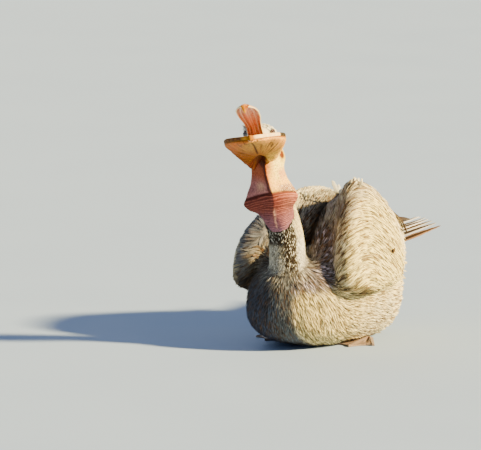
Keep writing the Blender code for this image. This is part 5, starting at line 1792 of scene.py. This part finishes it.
# %% Balls and lids
BALL_STEPS, BALL_SUNK, BALL_SIZE = 48, 0.0002, 0.98
LID_STEPS, LID_SIDES, LID_THICK = 40, 14, 0.0013
polar, round_it = rows_and_turns(np.linspace(0.02, 2.6, BALL_STEPS), BALL_STEPS)
bulge = 1 + 0.035 * bump_at(polar, 0, 0.75)  # the clear front of the eye bulges
sweep = np.linspace(-0.1, np.pi + 0.1, LID_STEPS)
around = round_turn(LID_SIDES)
for side_name, out in (("left", 1), ("right", -1)):
    axis = unit(xyz(out, -0.30, 0.05))
    ball_up = unit(xyz(0, 0, 1.0) - axis * axis[2])
    ball_side = np.cross(ball_up, axis)
    ball = axis * np.cos(polar)[..., None]
    ball = ball + ball_up * (np.sin(polar) * np.sin(round_it))[..., None]
    ball = ball + ball_side * (np.sin(polar) * np.cos(round_it))[..., None]
    ball = xyz(out * (EYE_OUT - BALL_SUNK), 0, 0) + ball * (EYE_RADIUS * BALL_SIZE * bulge)[..., None]
    ball_points, ball_triangles = closed_loft(put(head_at, ball))
    angle = with_ends(polar)
    angle[-2] = 0
    eye_tint = layered(
        tone(0.20, 0.08, 0.05),
        (tone(0.11, 0.05, 0.04), ramp(angle, 0.5, 0.95)),  # the iris darkens outward
        (tone(0.02, 0.015, 0.015), ramp(angle, 0.47, 0.40)),  # the pupil
        (tone(0.08, 0.04, 0.035), ramp(angle, 0.95, 1.02)),
    )
    ball_name = f"eye_{side_name}_ball"
    eye_mesh = mesh_of(ball_name, ball_points, ball_triangles, {"tint": with_alpha(eye_tint, 1)})
    piece(ball_name, eye_mesh, eye_finish, (f"eye_{side_name}",))

    lids = []
    eye_middle = xyz(out * EYE_OUT, 0, 0)
    for rolled, opening, fullness in ((1, 0.80, 1.15), (-1, 0.74, 0.9)):  # the upper lid, then the lower one
        offset = np.stack([np.cos(sweep) * 0.98, rolled * np.sin(sweep) * opening], -1)
        depth_in = np.sqrt(np.maximum(1 - (offset**2).sum(-1), 0.03))
        line = axis * depth_in[:, None] + ball_side * offset[:, :1] + ball_up * offset[:, 1:]
        line = eye_middle + line * EYE_RADIUS * 1.02
        ahead, away = unit(np.gradient(line, axis=0)), unit(line - eye_middle)
        fat = LID_THICK * (0.45 + 0.55 * np.sin(np.clip(sweep, 0, np.pi)))[:, None] * fullness
        rings = line[:, None] + away[:, None] * (fat * 0.8 * np.cos(around))[..., None]
        rings = rings + np.cross(ahead, away)[:, None] * (fat * 1.3 * np.sin(around))[..., None]
        lids.append(closed_loft(put(head_at, rings)))
    lid_points, lid_triangles = joined_arrays(lids)
    lid_tint = mixed(tone(0.34, 0.22, 0.18), tone(0.16, 0.10, 0.09), patchy(lid_points, 0.006, 12))
    lid_mesh = mesh_of(f"lids_{side_name}", lid_points, lid_triangles, {"tint": with_alpha(lid_tint, 1)})
    piece(f"lids_{side_name}", lid_mesh, lid_finish)
print("eyes and lids dressed")

# %% [markdown]
# ## Legs and feet
#
# They are tucked under the belly, and their solids have the right form already: flat webs with toes on them.
# They only need skin: grey-brown scales along the toes, and fine creases over the web.

# %% Leg skin
scaly = Paint("scaly_skin", Specular_IOR_Level=0.5, Subsurface_Weight=0.06, Subsurface_Scale=0.003)
cells = scaly.cells(260.0, feature="DISTANCE_TO_EDGE")
dust = scaly.noise(150, 5, rough=0.65)
scale_colour = scaly.mix(dust, tone(0.60, 0.50, 0.42), tone(0.45, 0.40, 0.38))
scale_colour = scaly.mix(scaly.between(cells, 0.0, 0.08, 0.75, 0.0), scale_colour, (0.12, 0.08, 0.06, 1))
scale_relief = scaly.relief(cells, 0.0012, 0.7, scaly.relief(dust, 0.0008, 0.4))
scaly_finish = scaly.finish(scale_colour, scaly.between(dust, 0.3, 0.7, 0.45, 0.65), scale_relief)
for name in ("leg_left", "leg_right", "foot_left", "foot_right"):
    nodes[name].data.materials.clear()
    nodes[name].data.materials.append(scaly_finish)
print("legs and feet dressed")

# %% [markdown]
# ## The last measure
#
# The dressed bird must fill the same box as the solid one, so both are written down before the scene is closed.

# %% Size and finish
shown_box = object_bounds()
for name, box in (("solid", solid_box), ("shown", shown_box)):
    print(name, [round(v, 3) for v in box[1] - box[0]])
